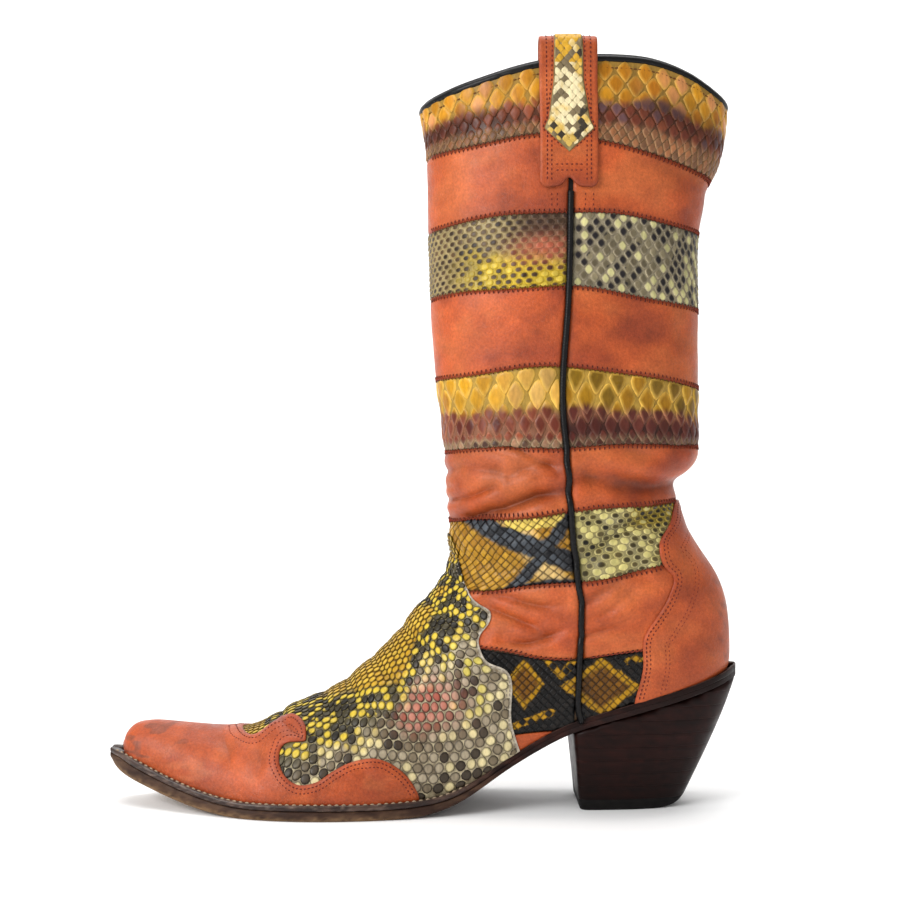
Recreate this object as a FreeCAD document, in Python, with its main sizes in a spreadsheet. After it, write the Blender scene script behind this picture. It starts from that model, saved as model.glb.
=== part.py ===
import FreeCAD, Part
import math
import os
from FreeCAD import Placement, Rotation, Vector

# Cowboy boot with a banded shaft, +Z up, toe towards -X, heel towards +X, standing on z = 0.
# The origin is on the floor, in the middle of the boot's length and width.

DOCUMENT = FreeCAD.newDocument("cowboy_boot")

# Driving dimensions in millimetres, unless the name says degrees or count.
DIMENSIONS = [
    ("pivot_x", -60.0),
    ("pivot_z", 150.0),
    ("toe_shift", 4.0),
    ("shaft_skin", 1.4),
    ("lining_thickness", 1.0),
    ("vamp_thickness", 1.4),
    ("cap_thickness", 1.2),
    ("glue_gap", 0.1),
    ("rim_front", 320.0),
    ("rim_side", 335.0),
    ("rim_back", 321.0),
    ("binding_height", 2.6),
    ("piping_width", 2.4),
    ("piping_height", 1.8),
    ("lasting_overlap", 8.0),
    ("strap_width", 25.0),
    ("strap_thickness", 1.6),
    ("strap_top", 344.2),
    ("strap_outer_end", 277.5),
    ("strap_inner_end", 296.0),
    ("strap_centre_x", 65.0),
    ("strap_loop_radius", 7.0),
    ("inlay_thickness", 0.9),
    ("outsole_forefoot", 4.4),
    ("outsole_toe", 6.2),
    ("outsole_waist", 3.4),
    ("welt_forefoot", 2.6),
    ("welt_toe", 3.6),
    ("rand_thickness", 1.5),
    ("welt_end_x", 20.0),
    ("welt_width", 11.0),
    ("insole_thickness", 2.6),
    ("sock_thickness", 1.2),
    ("sole_clearance", 0.1),
    ("shank_width", 14.0),
    ("shank_start_x", 8.0),
    ("shank_end_x", 92.0),
    ("shank_thickness", 1.2),
    ("heel_cap_thickness", 5.0),
    ("lift_thickness", 6.1),
    ("lift_count", 9.0),
    ("nail_diameter", 2.4),
    ("nail_length", 17.0),
    ("nail_recess", 1.2),
    ("peg_diameter", 2.0),
    ("peg_pitch", 7.0),
    ("peg_count", 6.0),
    ("peg_start_x", 22.0),
]

# Closed sections of the shaft and foot, measured on the outside of the shaft leather.
# "level" sections are horizontal, at a height, and their ends are given as X.
# "fan" sections turn about the pivot line in front of the ankle, at an angle below
# horizontal in degrees, and their ends are given as X.
# "cross" sections are vertical, at an X, and their ends are given as Z.
# widest is where along the section it is widest, and the rounds are superellipse powers.
# Below the featherline a section runs on under the foot, where the insole cuts it off.
SECTION_COLUMNS = ("at", "front", "back", "width", "widest", "front_round", "back_round")
SECTIONS = [
    ("mouth", "level", 349.0, -4.6, 143.2, 40.4, 0.50, 2.1, 2.1),
    ("collar", "level", 323.0, -2.1, 141.0, 40.0, 0.50, 2.1, 2.1),
    ("calf_a", "level", 302.0, 1.6, 138.6, 39.6, 0.50, 2.1, 2.1),
    ("calf_b", "level", 280.0, 2.5, 131.0, 39.0, 0.50, 2.1, 2.1),
    ("calf_c", "level", 258.0, 3.0, 127.6, 38.6, 0.50, 2.1, 2.1),
    ("calf_d", "level", 225.0, 4.2, 127.4, 38.0, 0.50, 2.1, 2.1),
    ("shin_a", "level", 192.0, 6.8, 127.4, 37.2, 0.50, 2.1, 2.1),
    ("shin_b", "level", 168.0, 9.8, 127.2, 36.6, 0.50, 2.1, 2.1),
    ("fold_top", "level", 157.0, 10.8, 124.6, 36.2, 0.50, 2.1, 2.1),
    ("fold", "fan", 0.0, 11.2, 118.6, 35.6, 0.52, 2.1, 2.1),
    ("ankle_a", "fan", 7.0, 11.8, 119.8, 35.0, 0.54, 2.1, 2.1),
    ("ankle_b", "fan", 14.0, 12.4, 136.4, 34.0, 0.55, 2.1, 2.1),
    ("ankle_c", "fan", 21.5, 13.0, 140.4, 32.6, 0.58, 2.0, 2.2),
    ("crook", "fan", 26.5, 13.6, 140.2, 31.8, 0.60, 2.0, 2.3),
    ("seat_a", "fan", 32.0, 11.0, 136.0, 30.6, 0.57, 2.0, 2.2),
    ("seat_b", "fan", 38.0, 6.8, 117.0, 29.4, 0.52, 2.0, 2.1),
    ("waist_a", "fan", 44.0, 0.4, 88.0, 28.8, 0.44, 1.9, 2.0),
    ("waist_b", "fan", 51.0, -6.2, 66.0, 28.6, 0.44, 1.9, 2.0),
    ("instep_a", "fan", 59.0, -14.2, 38.0, 29.4, 0.48, 1.9, 2.0),
    ("instep_b", "fan", 68.0, -25.2, 8.0, 33.0, 0.54, 1.9, 2.0),
    ("ball_a", "fan", 78.0, -39.3, -22.5, 37.2, 0.57, 1.9, 2.0),
    ("ball_b", "cross", -60.0, 43.4, -25.0, 36.8, 0.57, 1.9, 2.0),
    ("tread", "cross", -73.0, 36.0, -21.0, 33.6, 0.57, 2.0, 2.0),
    ("toe_a", "cross", -88.0, 32.4, -15.0, 27.8, 0.57, 2.1, 2.0),
    ("toe_b", "cross", -104.0, 33.0, -7.0, 21.2, 0.58, 2.2, 2.0),
    ("toe_c", "cross", -118.0, 34.2, 3.0, 14.8, 0.58, 2.3, 2.0),
    ("toe_d", "cross", -127.0, 34.6, 10.0, 11.2, 0.58, 2.3, 2.0),
    ("toe_e", "cross", -132.5, 33.0, 14.0, 8.8, 0.56, 2.2, 2.0),
    ("tip", "cross", -136.0, 29.6, 18.5, 6.0, 0.54, 2.1, 2.0),
]

# Plan of the sole edge: X and half width.
SOLE_PLAN = [
    (-140.5, 9.0),
    (-132.5, 14.2),
    (-118.0, 21.2),
    (-104.0, 27.8),
    (-88.0, 34.6),
    (-72.0, 40.0),
    (-50.0, 42.8),
    (-25.0, 41.4),
    (0.0, 36.4),
    (22.0, 30.6),
    (42.0, 27.6),
    (58.0, 27.4),
    (78.0, 29.6),
    (100.0, 31.6),
    (118.0, 30.0),
    (132.0, 23.6),
    (140.5, 14.6),
]
SOLE_TIP_X = -145.0
SOLE_TIP_HALF = 4.0
SOLE_BACK_X = 145.0

# Side view of the sole's underside: X and Z.
SOLE_UNDERSIDE = [
    (-145.0, 18.6),
    (-138.0, 14.4),
    (-128.0, 10.4),
    (-117.0, 6.8),
    (-106.0, 3.8),
    (-94.0, 1.4),
    (-82.0, 0.2),
    (-70.0, 0.0),
    (-58.0, 0.0),
    (-45.0, 0.0),
    (-32.0, 0.0),
    (-20.0, 0.0),
    (-6.0, 0.4),
    (8.0, 2.6),
    (20.0, 7.6),
    (35.0, 17.6),
    (50.0, 27.0),
    (66.0, 35.4),
    (82.0, 41.0),
    (110.0, 49.3),
    (145.0, 59.7),
]

# Heights of the seams between the shaft's bands: front, side and back of the boot.
BAND_SEAMS = [
    ("seam_1", 296.5, 300.4, 288.0),
    ("seam_2", 263.0, 267.2, 262.0),
    ("seam_3", 232.0, 234.0, 226.5),
    ("seam_4", 195.0, 199.0, 191.0),
    ("seam_5", 162.5, 163.6, 165.0),
    ("seam_6", 129.0, 135.0, 139.0),
    ("seam_7", 97.0, 103.6, 112.0),
    ("seam_8", 74.0, 69.8, 76.0),
    ("seam_9", 32.0, 38.0, 38.0),
]
SIDE_SEAM = [
    (66.0, 360.0),
    (66.0, 290.0),
    (65.0, 232.0),
    (62.6, 182.0),
    (65.4, 150.0),
    (67.6, 120.0),
    (71.0, 92.0),
    (70.4, 66.0),
    (68.4, 30.0),
]
VAMP_EDGE = [
    (6.0, 134.0),
    (15.6, 120.0),
    (19.4, 106.0),
    (22.4, 97.0),
    (31.6, 87.6),
    (25.8, 76.4),
    (29.0, 68.4),
    (38.0, 64.0),
    (40.2, 41.0),
    (45.0, 24.0),
]
COUNTER_EDGE = [
    (114.0, 139.0),
    (110.4, 129.0),
    (105.2, 120.0),
    (107.6, 110.0),
    (111.4, 106.0),
    (109.6, 98.0),
    (103.6, 87.5),
    (98.8, 80.0),
    (98.4, 66.0),
    (93.0, 44.0),
]
TOE_CAP_EDGE = [
    (0.0, 2.0),
    (-2.6, 12.0),
    (-8.6, 20.0),
    (-17.4, 25.0),
    (-28.0, 25.0),
    (-38.0, 20.5),
    (-46.7, 15.4),
    (-54.0, 14.6),
    (-60.0, 18.4),
    (-62.4, 24.0),
    (-60.6, 29.4),
    (-50.4, 31.6),
    (-51.0, 36.6),
    (-57.6, 40.4),
    (-64.4, 37.4),
    (-76.6, 30.6),
    (-90.4, 36.0),
    (-98.0, 52.0),
]
HEEL_SECTIONS = [
    ("base", 0.0, 71.4, 118.6, 19.4),
    ("lower", 20.0, 69.6, 128.2, 24.2),
    ("upper", 40.0, 67.6, 137.2, 29.0),
    ("seat", 62.0, 65.6, 145.0, 31.8),
]
NAIL_PLACES = [(79.0, -11.0), (79.0, 11.0), (94.0, -13.0), (94.0, 13.0), (109.0, -7.0), (109.0, 7.0)]

SIDE_REACH = 90.0
FAR = 200.0
SECTION_POINTS = 24
THINNEST_SECTION = 4.0


def write_sheet(document):
    """Put every driving dimension in the spreadsheet under its own alias."""
    sheet = document.addObject("Spreadsheet::Sheet", "Dimensions")
    rows = list(DIMENSIONS)
    for name, _plane, *numbers in SECTIONS:
        rows += [(name + "_" + column, number) for column, number in zip(SECTION_COLUMNS, numbers)]
    for name, front, side, back in BAND_SEAMS:
        rows += [(name + "_front", front), (name + "_side", side), (name + "_back", back)]
    for name, height, breast, back, half in HEEL_SECTIONS:
        prefix = "heel_" + name
        rows += [(prefix + "_z", height), (prefix + "_breast", breast)]
        rows += [(prefix + "_back", back), (prefix + "_half", half)]
    for number, (alias, value) in enumerate(rows, start=1):
        sheet.set("A%d" % number, alias)
        sheet.set("B%d" % number, "%g" % value)
        sheet.setAlias("B%d" % number, alias)
    document.recompute()
    return sheet


SHEET = write_sheet(DOCUMENT)


def size(alias):
    return float(SHEET.get(alias))


def add_piece(label, shape):
    """A sub-part whose shape is worked out in code from the sheet's dimensions."""
    piece = DOCUMENT.addObject("Part::Feature", label)
    piece.Shape = shape
    piece.Placement = Placement(Vector(0, 0, 0), Rotation())
    piece.Label = label
    PIECES.append(piece)
    return piece


def keep(piece, label):
    piece.Label = label
    PIECES.append(piece)
    return piece


PIECES = []


# ---------------------------------------------------------------- foot and shaft form

def centre_shift(x):
    """Sideways place of the foot's middle line, which bends inwards towards the toe."""
    forward = max(0.0, -40.0 - x) / 100.0
    return size("toe_shift") * forward ** 1.5


def section_plane(name, plane, offset):
    """Front end and back end of a section, moved out by an offset."""
    at, front, back = (size(name + "_" + column) for column in ("at", "front", "back"))
    if plane == "level":
        ends = Vector(front, 0, at), Vector(back, 0, at)
    elif plane == "fan":
        slope = math.tan(math.radians(at))
        height = lambda x: size("pivot_z") - (x - size("pivot_x")) * slope
        ends = Vector(front, 0, height(front)), Vector(back, 0, height(back))
    else:
        tip_share = min(1.0, max(0.0, (-110.0 - at) / 26.0))
        x = at - offset * tip_share
        ends = Vector(x, 0, front), Vector(x, 0, back)
    along = (ends[1] - ends[0]).normalize()
    return ends[0] - along * offset, ends[1] + along * offset


def section_ring(name, plane, offset):
    front, back = section_plane(name, plane, offset)
    half = size(name + "_width") + offset
    widest = size(name + "_widest")
    points = []
    for step in range(SECTION_POINTS):
        angle = 2.0 * math.pi * step / SECTION_POINTS
        toward_front = math.cos(angle) > 0
        power = 2.0 / size(name + ("_front_round" if toward_front else "_back_round"))
        reach = abs(math.cos(angle)) ** power
        share = widest * (1.0 - reach) if toward_front else widest + (1.0 - widest) * reach
        side = math.copysign(abs(math.sin(angle)) ** power, math.sin(angle))
        point = front + (back - front) * share
        points.append(Vector(point.x, centre_shift(point.x) - half * side, point.z))
    ring = Part.BSplineCurve()
    turns = [float(step) for step in range(SECTION_POINTS + 1)]
    ring.interpolate(Points=points, PeriodicFlag=True, Parameters=turns)
    return ring


def skin_surface(rings):
    """One smooth surface through closed section curves that share the same knots."""
    columns = list(zip(*[ring.getPoles() for ring in rings]))
    spacing = [0.0]
    for one, other in zip(rings, rings[1:]):
        gaps = [a.distanceToPoint(b) for a, b in zip(one.getPoles(), other.getPoles())]
        spacing.append(spacing[-1] + math.sqrt(sum(gaps) / len(gaps)))
    rails = []
    for column in columns:
        rail = Part.BSplineCurve()
        rail.interpolate(Points=list(column), Parameters=spacing)
        rails.append(rail)
    surface = Part.BSplineSurface()
    surface.buildFromPolesMultsKnots(
        [rail.getPoles() for rail in rails],
        rings[0].getMultiplicities(),
        rails[0].getMultiplicities(),
        rings[0].getKnots(),
        rails[0].getKnots(),
        True,
        False,
        rings[0].Degree,
        rails[0].Degree,
    )
    return surface


FORMS = {}


def form(offset):
    """The boot's whole closed form, grown by an offset from the shaft leather's outside."""
    if offset not in FORMS:
        chosen = [row for row in SECTIONS if size(row[0] + "_width") + offset > THINNEST_SECTION]
        side = skin_surface([section_ring(name, plane, offset) for name, plane, *_rest in chosen]).toShape()
        ends = [Part.Face(Part.Wire([edge])) for edge in side.Edges if edge.isClosed()]
        skin = Part.makeShell([side] + ends)
        skin.sewShape()
        FORMS[offset] = Part.Solid(skin)
    return FORMS[offset]


# ---------------------------------------------------------------- side-view outlines

def spline_edge(points):
    curve = Part.BSplineCurve()
    curve.interpolate(Points=[Vector(x, 0, z) for x, z in points])
    return curve.toShape()


def side_prism(curved, corners):
    """A prism right across the boot: a smooth edge closed by straight lines."""
    edges = [spline_edge(curved)]
    chain = [curved[-1]] + list(corners) + [curved[0]]
    for (x0, z0), (x1, z1) in zip(chain, chain[1:]):
        edges.append(Part.LineSegment(Vector(x0, 0, z0), Vector(x1, 0, z1)).toShape())
    face = Part.Face(Part.Wire(Part.__sortEdges__(edges)))
    prism = face.extrude(Vector(0, 2.0 * SIDE_REACH, 0))
    prism.translate(Vector(0, -SIDE_REACH, 0))
    return prism


def strip_prism(lower, upper):
    """A prism right across the boot between two smooth edges that run the same way."""
    edges = [spline_edge(lower), spline_edge(upper)]
    for low, high in ((lower[0], upper[0]), (lower[-1], upper[-1])):
        edges.append(Part.LineSegment(Vector(low[0], 0, low[1]), Vector(high[0], 0, high[1])).toShape())
    face = Part.Face(Part.Wire(Part.__sortEdges__(edges)))
    prism = face.extrude(Vector(0, 2.0 * SIDE_REACH, 0))
    prism.translate(Vector(0, -SIDE_REACH, 0))
    return prism


def moved(points, dx, dz=0.0):
    return [(x + dx, z + dz) for x, z in points]


def interpolated(rows, x):
    """Straight-line value at x in rows of (x, value)."""
    if x <= rows[0][0]:
        return rows[0][1]
    for (x0, v0), (x1, v1) in zip(rows, rows[1:]):
        if x <= x1:
            return v0 + (v1 - v0) * (x - x0) / (x1 - x0)
    return rows[-1][1]


def outsole_thickness(x):
    rows = [(-140.0, size("outsole_toe")), (-80.0, size("outsole_forefoot"))]
    rows += [(0.0, size("outsole_forefoot")), (35.0, size("outsole_waist"))]
    return interpolated(rows, x)


def welt_thickness(x):
    rows = [(-140.0, size("welt_toe")), (-80.0, size("welt_forefoot"))]
    rows += [(-5.0, size("welt_forefoot")), (size("welt_end_x") + 10.0, size("rand_thickness"))]
    return interpolated(rows, x)


def sole_line(level):
    """Side-view line on the sole: 0 underside, 1 outsole top, 2 welt top, 3 insole top, 4 sock top."""
    line = []
    for x, z in SOLE_UNDERSIDE:
        steps = [outsole_thickness(x), welt_thickness(x), size("insole_thickness"), size("sock_thickness")]
        line.append((x, z + sum(steps[:level])))
    (x0, z0), (x1, z1) = line[-2:]
    line.append((x1 + 20.0, z1 + 20.0 * (z1 - z0) / (x1 - x0)))
    (x0, z0), (x1, z1) = line[:2]
    line.insert(0, (x0 - 20.0, z0 + 20.0 * (z0 - z1) / (x1 - x0)))
    return line


def rim_line(rise=0.0):
    front, side, back = size("rim_front"), size("rim_side"), size("rim_back")
    points = [(-20.0, front - 1.6), (-2.0, front), (20.0, front + 5.0), (52.0, side - 2.6)]
    points += [(84.0, side), (104.0, side - 1.2), (118.0, side - 5.0), (141.0, back), (165.0, back - 4.0)]
    return moved(points, 0.0, rise)


def seam_line(number):
    name = BAND_SEAMS[number - 1][0]
    front, side, back = size(name + "_front"), size(name + "_side"), size(name + "_back")
    return [(-30.0, front - 3.0), (8.0, front), (66.0, side), (126.0, back), (165.0, back - 3.0)]


def shell(inner, outer):
    """Leather layer between two offsets, from the welt up to the rim."""
    upper = strip_prism(sole_line(2), rim_line())
    return form(outer).cut(form(inner)).common(upper)


# ---------------------------------------------------------------- upper

LINING_IN = -(size("shaft_skin") + size("lining_thickness"))
LINING_OUT = -size("shaft_skin")
SKIN_OUT = 0.0
VAMP_OUT = size("vamp_thickness")
CAP_OUT = size("vamp_thickness") + size("cap_thickness")
LEFT = -FAR
RIGHT = FAR


def front_zone(gap):
    return side_prism(moved(SIDE_SEAM, -gap), [(LEFT, 30.0), (LEFT, 360.0)])


def back_zone(gap):
    return side_prism(moved(SIDE_SEAM, gap), [(RIGHT, 30.0), (RIGHT, 360.0)])


def vamp_zone(inset):
    return side_prism(moved(VAMP_EDGE, -inset), [(45.0 - inset, -40.0), (LEFT, -40.0), (LEFT, 134.0)])


def counter_zone(inset):
    return side_prism(moved(COUNTER_EDGE, inset), [(93.0 + inset, -40.0), (RIGHT, -40.0), (RIGHT, 139.0)])


def add_panels(label, shape):
    """One node for a band that wraps right round, or a left and a right one where it is cut in two."""
    panels = sorted(shape.Solids, key=lambda solid: solid.CenterOfMass.y)
    if len(panels) == 1:
        add_piece(label, panels[0])
        return
    add_piece(label + "_left", panels[0])
    add_piece(label + "_right", panels[-1])


def make_bands():
    """Shaft bands, python and leather in turn, split into fronts and backs at the side seams."""
    skin = shell(LINING_OUT, SKIN_OUT)
    half_piping = size("piping_width") / 2.0
    overlap = size("lasting_overlap")
    front = skin.common(front_zone(half_piping)).cut(vamp_zone(overlap))
    back = skin.common(back_zone(half_piping)).cut(counter_zone(overlap))
    top = [(x, z + 40.0) for x, z in seam_line(1)]
    bottom = [(x, z - 60.0) for x, z in seam_line(len(BAND_SEAMS))]
    lines = [top] + [seam_line(number) for number in range(1, len(BAND_SEAMS) + 1)] + [bottom]
    for number, (upper, lower) in enumerate(zip(lines, lines[1:]), start=1):
        prism = strip_prism(lower, upper)
        kind = "python" if number % 2 else "leather"
        add_panels("front_band_%d_%s" % (number, kind), front.common(prism))
        if number < len(lines) - 1:
            add_panels("back_band_%d_%s" % (number, kind), back.common(prism))


def make_linings():
    lining = shell(LINING_IN, LINING_OUT)
    foot = vamp_zone(-6.0)
    add_piece("vamp_lining", lining.common(foot))
    leg = lining.cut(foot)
    add_piece("shaft_lining_front", leg.common(front_zone(0.0)))
    add_piece("shaft_lining_back", leg.common(back_zone(0.0)))
    edge = strip_prism(rim_line(), rim_line(size("binding_height")))
    gap = size("glue_gap")
    add_piece("top_binding", form(SKIN_OUT - gap).cut(form(LINING_IN + gap)).common(edge))


def make_piping():
    """Raised piping in each side seam, from the strap down to the sole."""
    half = size("piping_width") / 2.0 - size("glue_gap")
    seam = strip_prism(moved(SIDE_SEAM, -half), moved(SIDE_SEAM, half))
    rib = shell(LINING_OUT, size("piping_height")).common(seam)
    top = size("strap_outer_end")
    below = Part.makeBox(FAR, 2.0 * SIDE_REACH, top, Vector(0, -SIDE_REACH, 0))
    rib = rib.common(below)
    halves = sorted(rib.Solids, key=lambda solid: solid.CenterOfMass.y)
    add_piece("side_piping_left", halves[0])
    add_piece("side_piping_right", halves[-1])


def make_vamp():
    overlap = size("lasting_overlap")
    gap = size("glue_gap")
    add_piece("vamp", shell(SKIN_OUT, VAMP_OUT).common(vamp_zone(0.0)))
    puff = Part.makeBox(FAR, 2.0 * SIDE_REACH, FAR, Vector(-100.0 - FAR, -SIDE_REACH, 0))
    filling = shell(LINING_OUT + gap, SKIN_OUT - gap).common(vamp_zone(overlap + gap))
    add_piece("toe_puff", filling.common(puff))
    add_piece("vamp_backing", filling.cut(puff))
    cap = side_prism(TOE_CAP_EDGE, [(LEFT, 52.0), (LEFT, 2.0)])
    add_piece("toe_cap", shell(VAMP_OUT, CAP_OUT).common(cap))


def make_counter():
    overlap = size("lasting_overlap")
    gap = size("glue_gap")
    add_piece("counter_cover", shell(SKIN_OUT, VAMP_OUT).common(counter_zone(0.0)))
    filling = shell(LINING_OUT + gap, SKIN_OUT - gap)
    add_piece("counter_stiffener", filling.common(counter_zone(overlap + gap)))


# ---------------------------------------------------------------- sketches and bodies

def origin_plane(body, role):
    return [plane for plane in body.Origin.OriginFeatures if plane.Role == role][0]


def padded_sketch(label, role, geometry, length_alias, keep_label=True):
    """A body with one sketch on an origin plane, padded evenly to both sides."""
    body = DOCUMENT.addObject("PartDesign::Body", label)
    sketch = body.newObject("Sketcher::SketchObject", label + "_sketch")
    sketch.AttachmentSupport = (origin_plane(body, role), [""])
    sketch.MapMode = "FlatFace"
    sketch.addGeometry(geometry, False)
    pad = body.newObject("PartDesign::Pad", label + "_pad")
    pad.Profile = sketch
    pad.Midplane = True
    pad.setExpression("Length", length_alias)
    DOCUMENT.recompute()
    if keep_label:
        keep(body, label)
    return body


def line2(start, end):
    return Part.LineSegment(Vector(start[0], start[1], 0), Vector(end[0], end[1], 0))


def arc2(start, middle, end):
    return Part.Arc(*(Vector(x, y, 0) for x, y in (start, middle, end)))


def wall_half_width(height):
    """Half width of the shaft's outside at the side seam."""
    rows = [(size(row[0] + "_at"), size(row[0] + "_width")) for row in SECTIONS if row[1] == "level"]
    return interpolated(sorted(rows), height)


def make_strap(side, sign):
    """Pull strap: a band sewn to the outside and the inside of the shaft, looped over the rim."""
    thick = size("strap_thickness")
    gap = size("glue_gap")
    radius = size("strap_loop_radius")
    top = size("strap_top") - radius
    low_out, low_in = size("strap_outer_end"), size("strap_inner_end")
    out_wall = wall_half_width(low_out) + gap
    in_wall = wall_half_width(low_in) + LINING_IN - gap - 0.4
    middle = wall_half_width(top) + LINING_IN / 2.0
    neck = top - 11.0
    out_neck = wall_half_width(neck) + gap
    in_neck = wall_half_width(neck) + LINING_IN - gap - 0.4
    inner = radius - thick
    outline = [
        line2((-sign * out_wall, low_out), (-sign * out_neck, neck)),
        line2((-sign * out_neck, neck), (-sign * (middle + inner), top)),
        arc2((-sign * (middle + inner), top), (-sign * middle, top + inner), (-sign * (middle - inner), top)),
        line2((-sign * (middle - inner), top), (-sign * in_neck, neck)),
        line2((-sign * in_neck, neck), (-sign * in_wall, low_in)),
        line2((-sign * in_wall, low_in), (-sign * (in_wall - thick), low_in)),
        line2((-sign * (in_wall - thick), low_in), (-sign * (in_neck - thick), neck)),
        line2((-sign * (in_neck - thick), neck), (-sign * (middle - radius), top)),
        arc2((-sign * (middle - radius), top), (-sign * middle, top + radius), (-sign * (middle + radius), top)),
        line2((-sign * (middle + radius), top), (-sign * (out_neck + thick), neck)),
        line2((-sign * (out_neck + thick), neck), (-sign * (out_wall + thick), low_out)),
        line2((-sign * (out_wall + thick), low_out), (-sign * out_wall, low_out)),
    ]
    strap = padded_sketch("pull_strap_" + side, "YZ_Plane", outline, "Dimensions.strap_width")
    strap.setExpression("Placement.Base.x", "Dimensions.strap_centre_x")
    # Inlay: an arrow-shaped piece of python on the strap's outer face.
    foot = low_out + 16.0
    head = neck - 0.5
    arrow = [(-8.5, head - 12.0), (-10.0, foot + 10.0), (0.0, foot), (10.0, foot + 10.0)]
    arrow += [(8.5, head - 12.0), (6.2, head), (-6.2, head)]
    edges = [line2(start, end) for start, end in zip(arrow, arrow[1:] + arrow[:1])]
    inlay = padded_sketch("strap_inlay_" + side, "XZ_Plane", edges, "Dimensions.inlay_thickness")
    lean = math.degrees(math.atan2(out_neck - out_wall, neck - low_out))
    half = size("inlay_thickness") / 2.0 + gap
    face = out_wall + thick + half + math.tan(math.radians(lean)) * (foot - low_out)
    turn = Rotation(Vector(1, 0, 0), sign * lean)
    base = Vector(size("strap_centre_x"), -sign * face, foot) - turn.multVec(Vector(0, 0, foot))
    inlay.Placement = Placement(base, turn)
    inlay.setExpression("Placement.Base.x", "Dimensions.strap_centre_x")


# ---------------------------------------------------------------- sole

def plan_wire(inset):
    """Closed plan of the sole edge, drawn in by an inset."""
    near, far = [], []
    for x, half in SOLE_PLAN:
        near.append(Vector(x, centre_shift(x) - (half - inset), 0))
        far.append(Vector(x, centre_shift(x) + (half - inset), 0))
    back = Vector(SOLE_BACK_X - inset, 0, 0)
    keep_from = inset * 0.7
    near = [point for point in near if point.x < SOLE_BACK_X - inset - 2.0 and point.x > SOLE_TIP_X + keep_from]
    far = [point for point in far if point.x < SOLE_BACK_X - inset - 2.0 and point.x > SOLE_TIP_X + keep_from]
    tip_x = SOLE_TIP_X + inset
    tip_half = max(1.5, SOLE_TIP_HALF - inset * 0.3)
    start = Vector(tip_x, centre_shift(tip_x) - tip_half, 0)
    end = Vector(tip_x, centre_shift(tip_x) + tip_half, 0)
    points = [start] + [p for p in near if p.x > tip_x + 2.0] + [back]
    points += [p for p in reversed(far) if p.x > tip_x + 2.0] + [end]
    curve = Part.BSplineCurve()
    curve.interpolate(Points=points)
    return Part.Wire([curve.toShape(), Part.LineSegment(end, start).toShape()])


def plan_prism(inset):
    return Part.Face(plan_wire(inset)).extrude(Vector(0, 0, 110.0))


def layer(low, high):
    return strip_prism(sole_line(low), sole_line(high))


def x_zone(start, end):
    return Part.makeBox(end - start, 2.0 * SIDE_REACH, FAR, Vector(start, -SIDE_REACH, -10.0))


def peg_holes():
    """Pegs stand square to the floor along both edges of the waist."""
    pegs = []
    inset = 4.2
    plan = [(x, half) for x, half in SOLE_PLAN]
    line = sole_line(0)
    for number in range(int(size("peg_count"))):
        x = size("peg_start_x") + number * size("peg_pitch")
        reach = interpolated(plan, x) - inset
        low = interpolated(line, x) - 4.0
        for sign in (-1.0, 1.0):
            radius = size("peg_diameter") / 2.0
            pegs.append(Part.makeCylinder(radius, 16.0, Vector(x, sign * reach, low)))
    return Part.makeCompound(pegs)


def make_sole():
    outsole_blank = plan_prism(0.0).common(layer(0, 1))
    pegs = peg_holes()
    add_piece("outsole", outsole_blank.cut(pegs))
    add_piece("waist_pegs", pegs.common(outsole_blank))
    ring = plan_prism(0.0).cut(plan_prism(size("welt_width"))).common(layer(1, 2))
    seam_x = size("welt_end_x")
    add_piece("welt", ring.common(x_zone(-FAR, seam_x)))
    add_piece("heel_rand", ring.common(x_zone(seam_x, FAR)))
    shank_slot = Part.makeBox(
        size("shank_end_x") - size("shank_start_x"),
        size("shank_width"),
        FAR,
        Vector(size("shank_start_x"), -size("shank_width") / 2.0, 0),
    )
    core = plan_prism(size("welt_width") + size("sole_clearance")).common(layer(1, 2))
    add_piece("cork_filler", core.cut(shank_slot))
    thin = strip_prism(sole_line(1), moved(sole_line(1), 0.0, size("shank_thickness")))
    add_piece("steel_shank", core.common(shank_slot).common(thin))
    inside = form(LINING_IN - size("sole_clearance"))
    add_piece("insole", inside.common(layer(2, 3)))
    add_piece("sock_liner", inside.common(layer(3, 4)))


# ---------------------------------------------------------------- heel

def heel_wire(height, breast, back, half):
    """Flat breast and a round back."""
    points = []
    steps = 8
    length = back - breast
    for step in range(steps + 1):
        angle = math.pi * (step / steps - 0.5)
        reach = abs(math.cos(angle)) ** 0.9
        side = math.copysign(abs(math.sin(angle)) ** 0.62, angle)
        points.append(Vector(breast + length * reach, half * side, height))
    curve = Part.BSplineCurve()
    curve.interpolate(Points=points)
    return Part.Wire([curve.toShape(), Part.LineSegment(points[-1], points[0]).toShape()])


def bound_box(label, low_expression, thickness_expression):
    """A slab wider than the heel whose height and thickness follow the sheet."""
    box = DOCUMENT.addObject("Part::Box", label)
    box.setExpression("Height", thickness_expression)
    box.Length = 140.0
    box.Width = 2.0 * SIDE_REACH
    box.Placement = Placement(Vector(40.0, -SIDE_REACH, 0), Rotation())
    box.setExpression("Placement.Base.z", low_expression)
    return box


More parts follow.
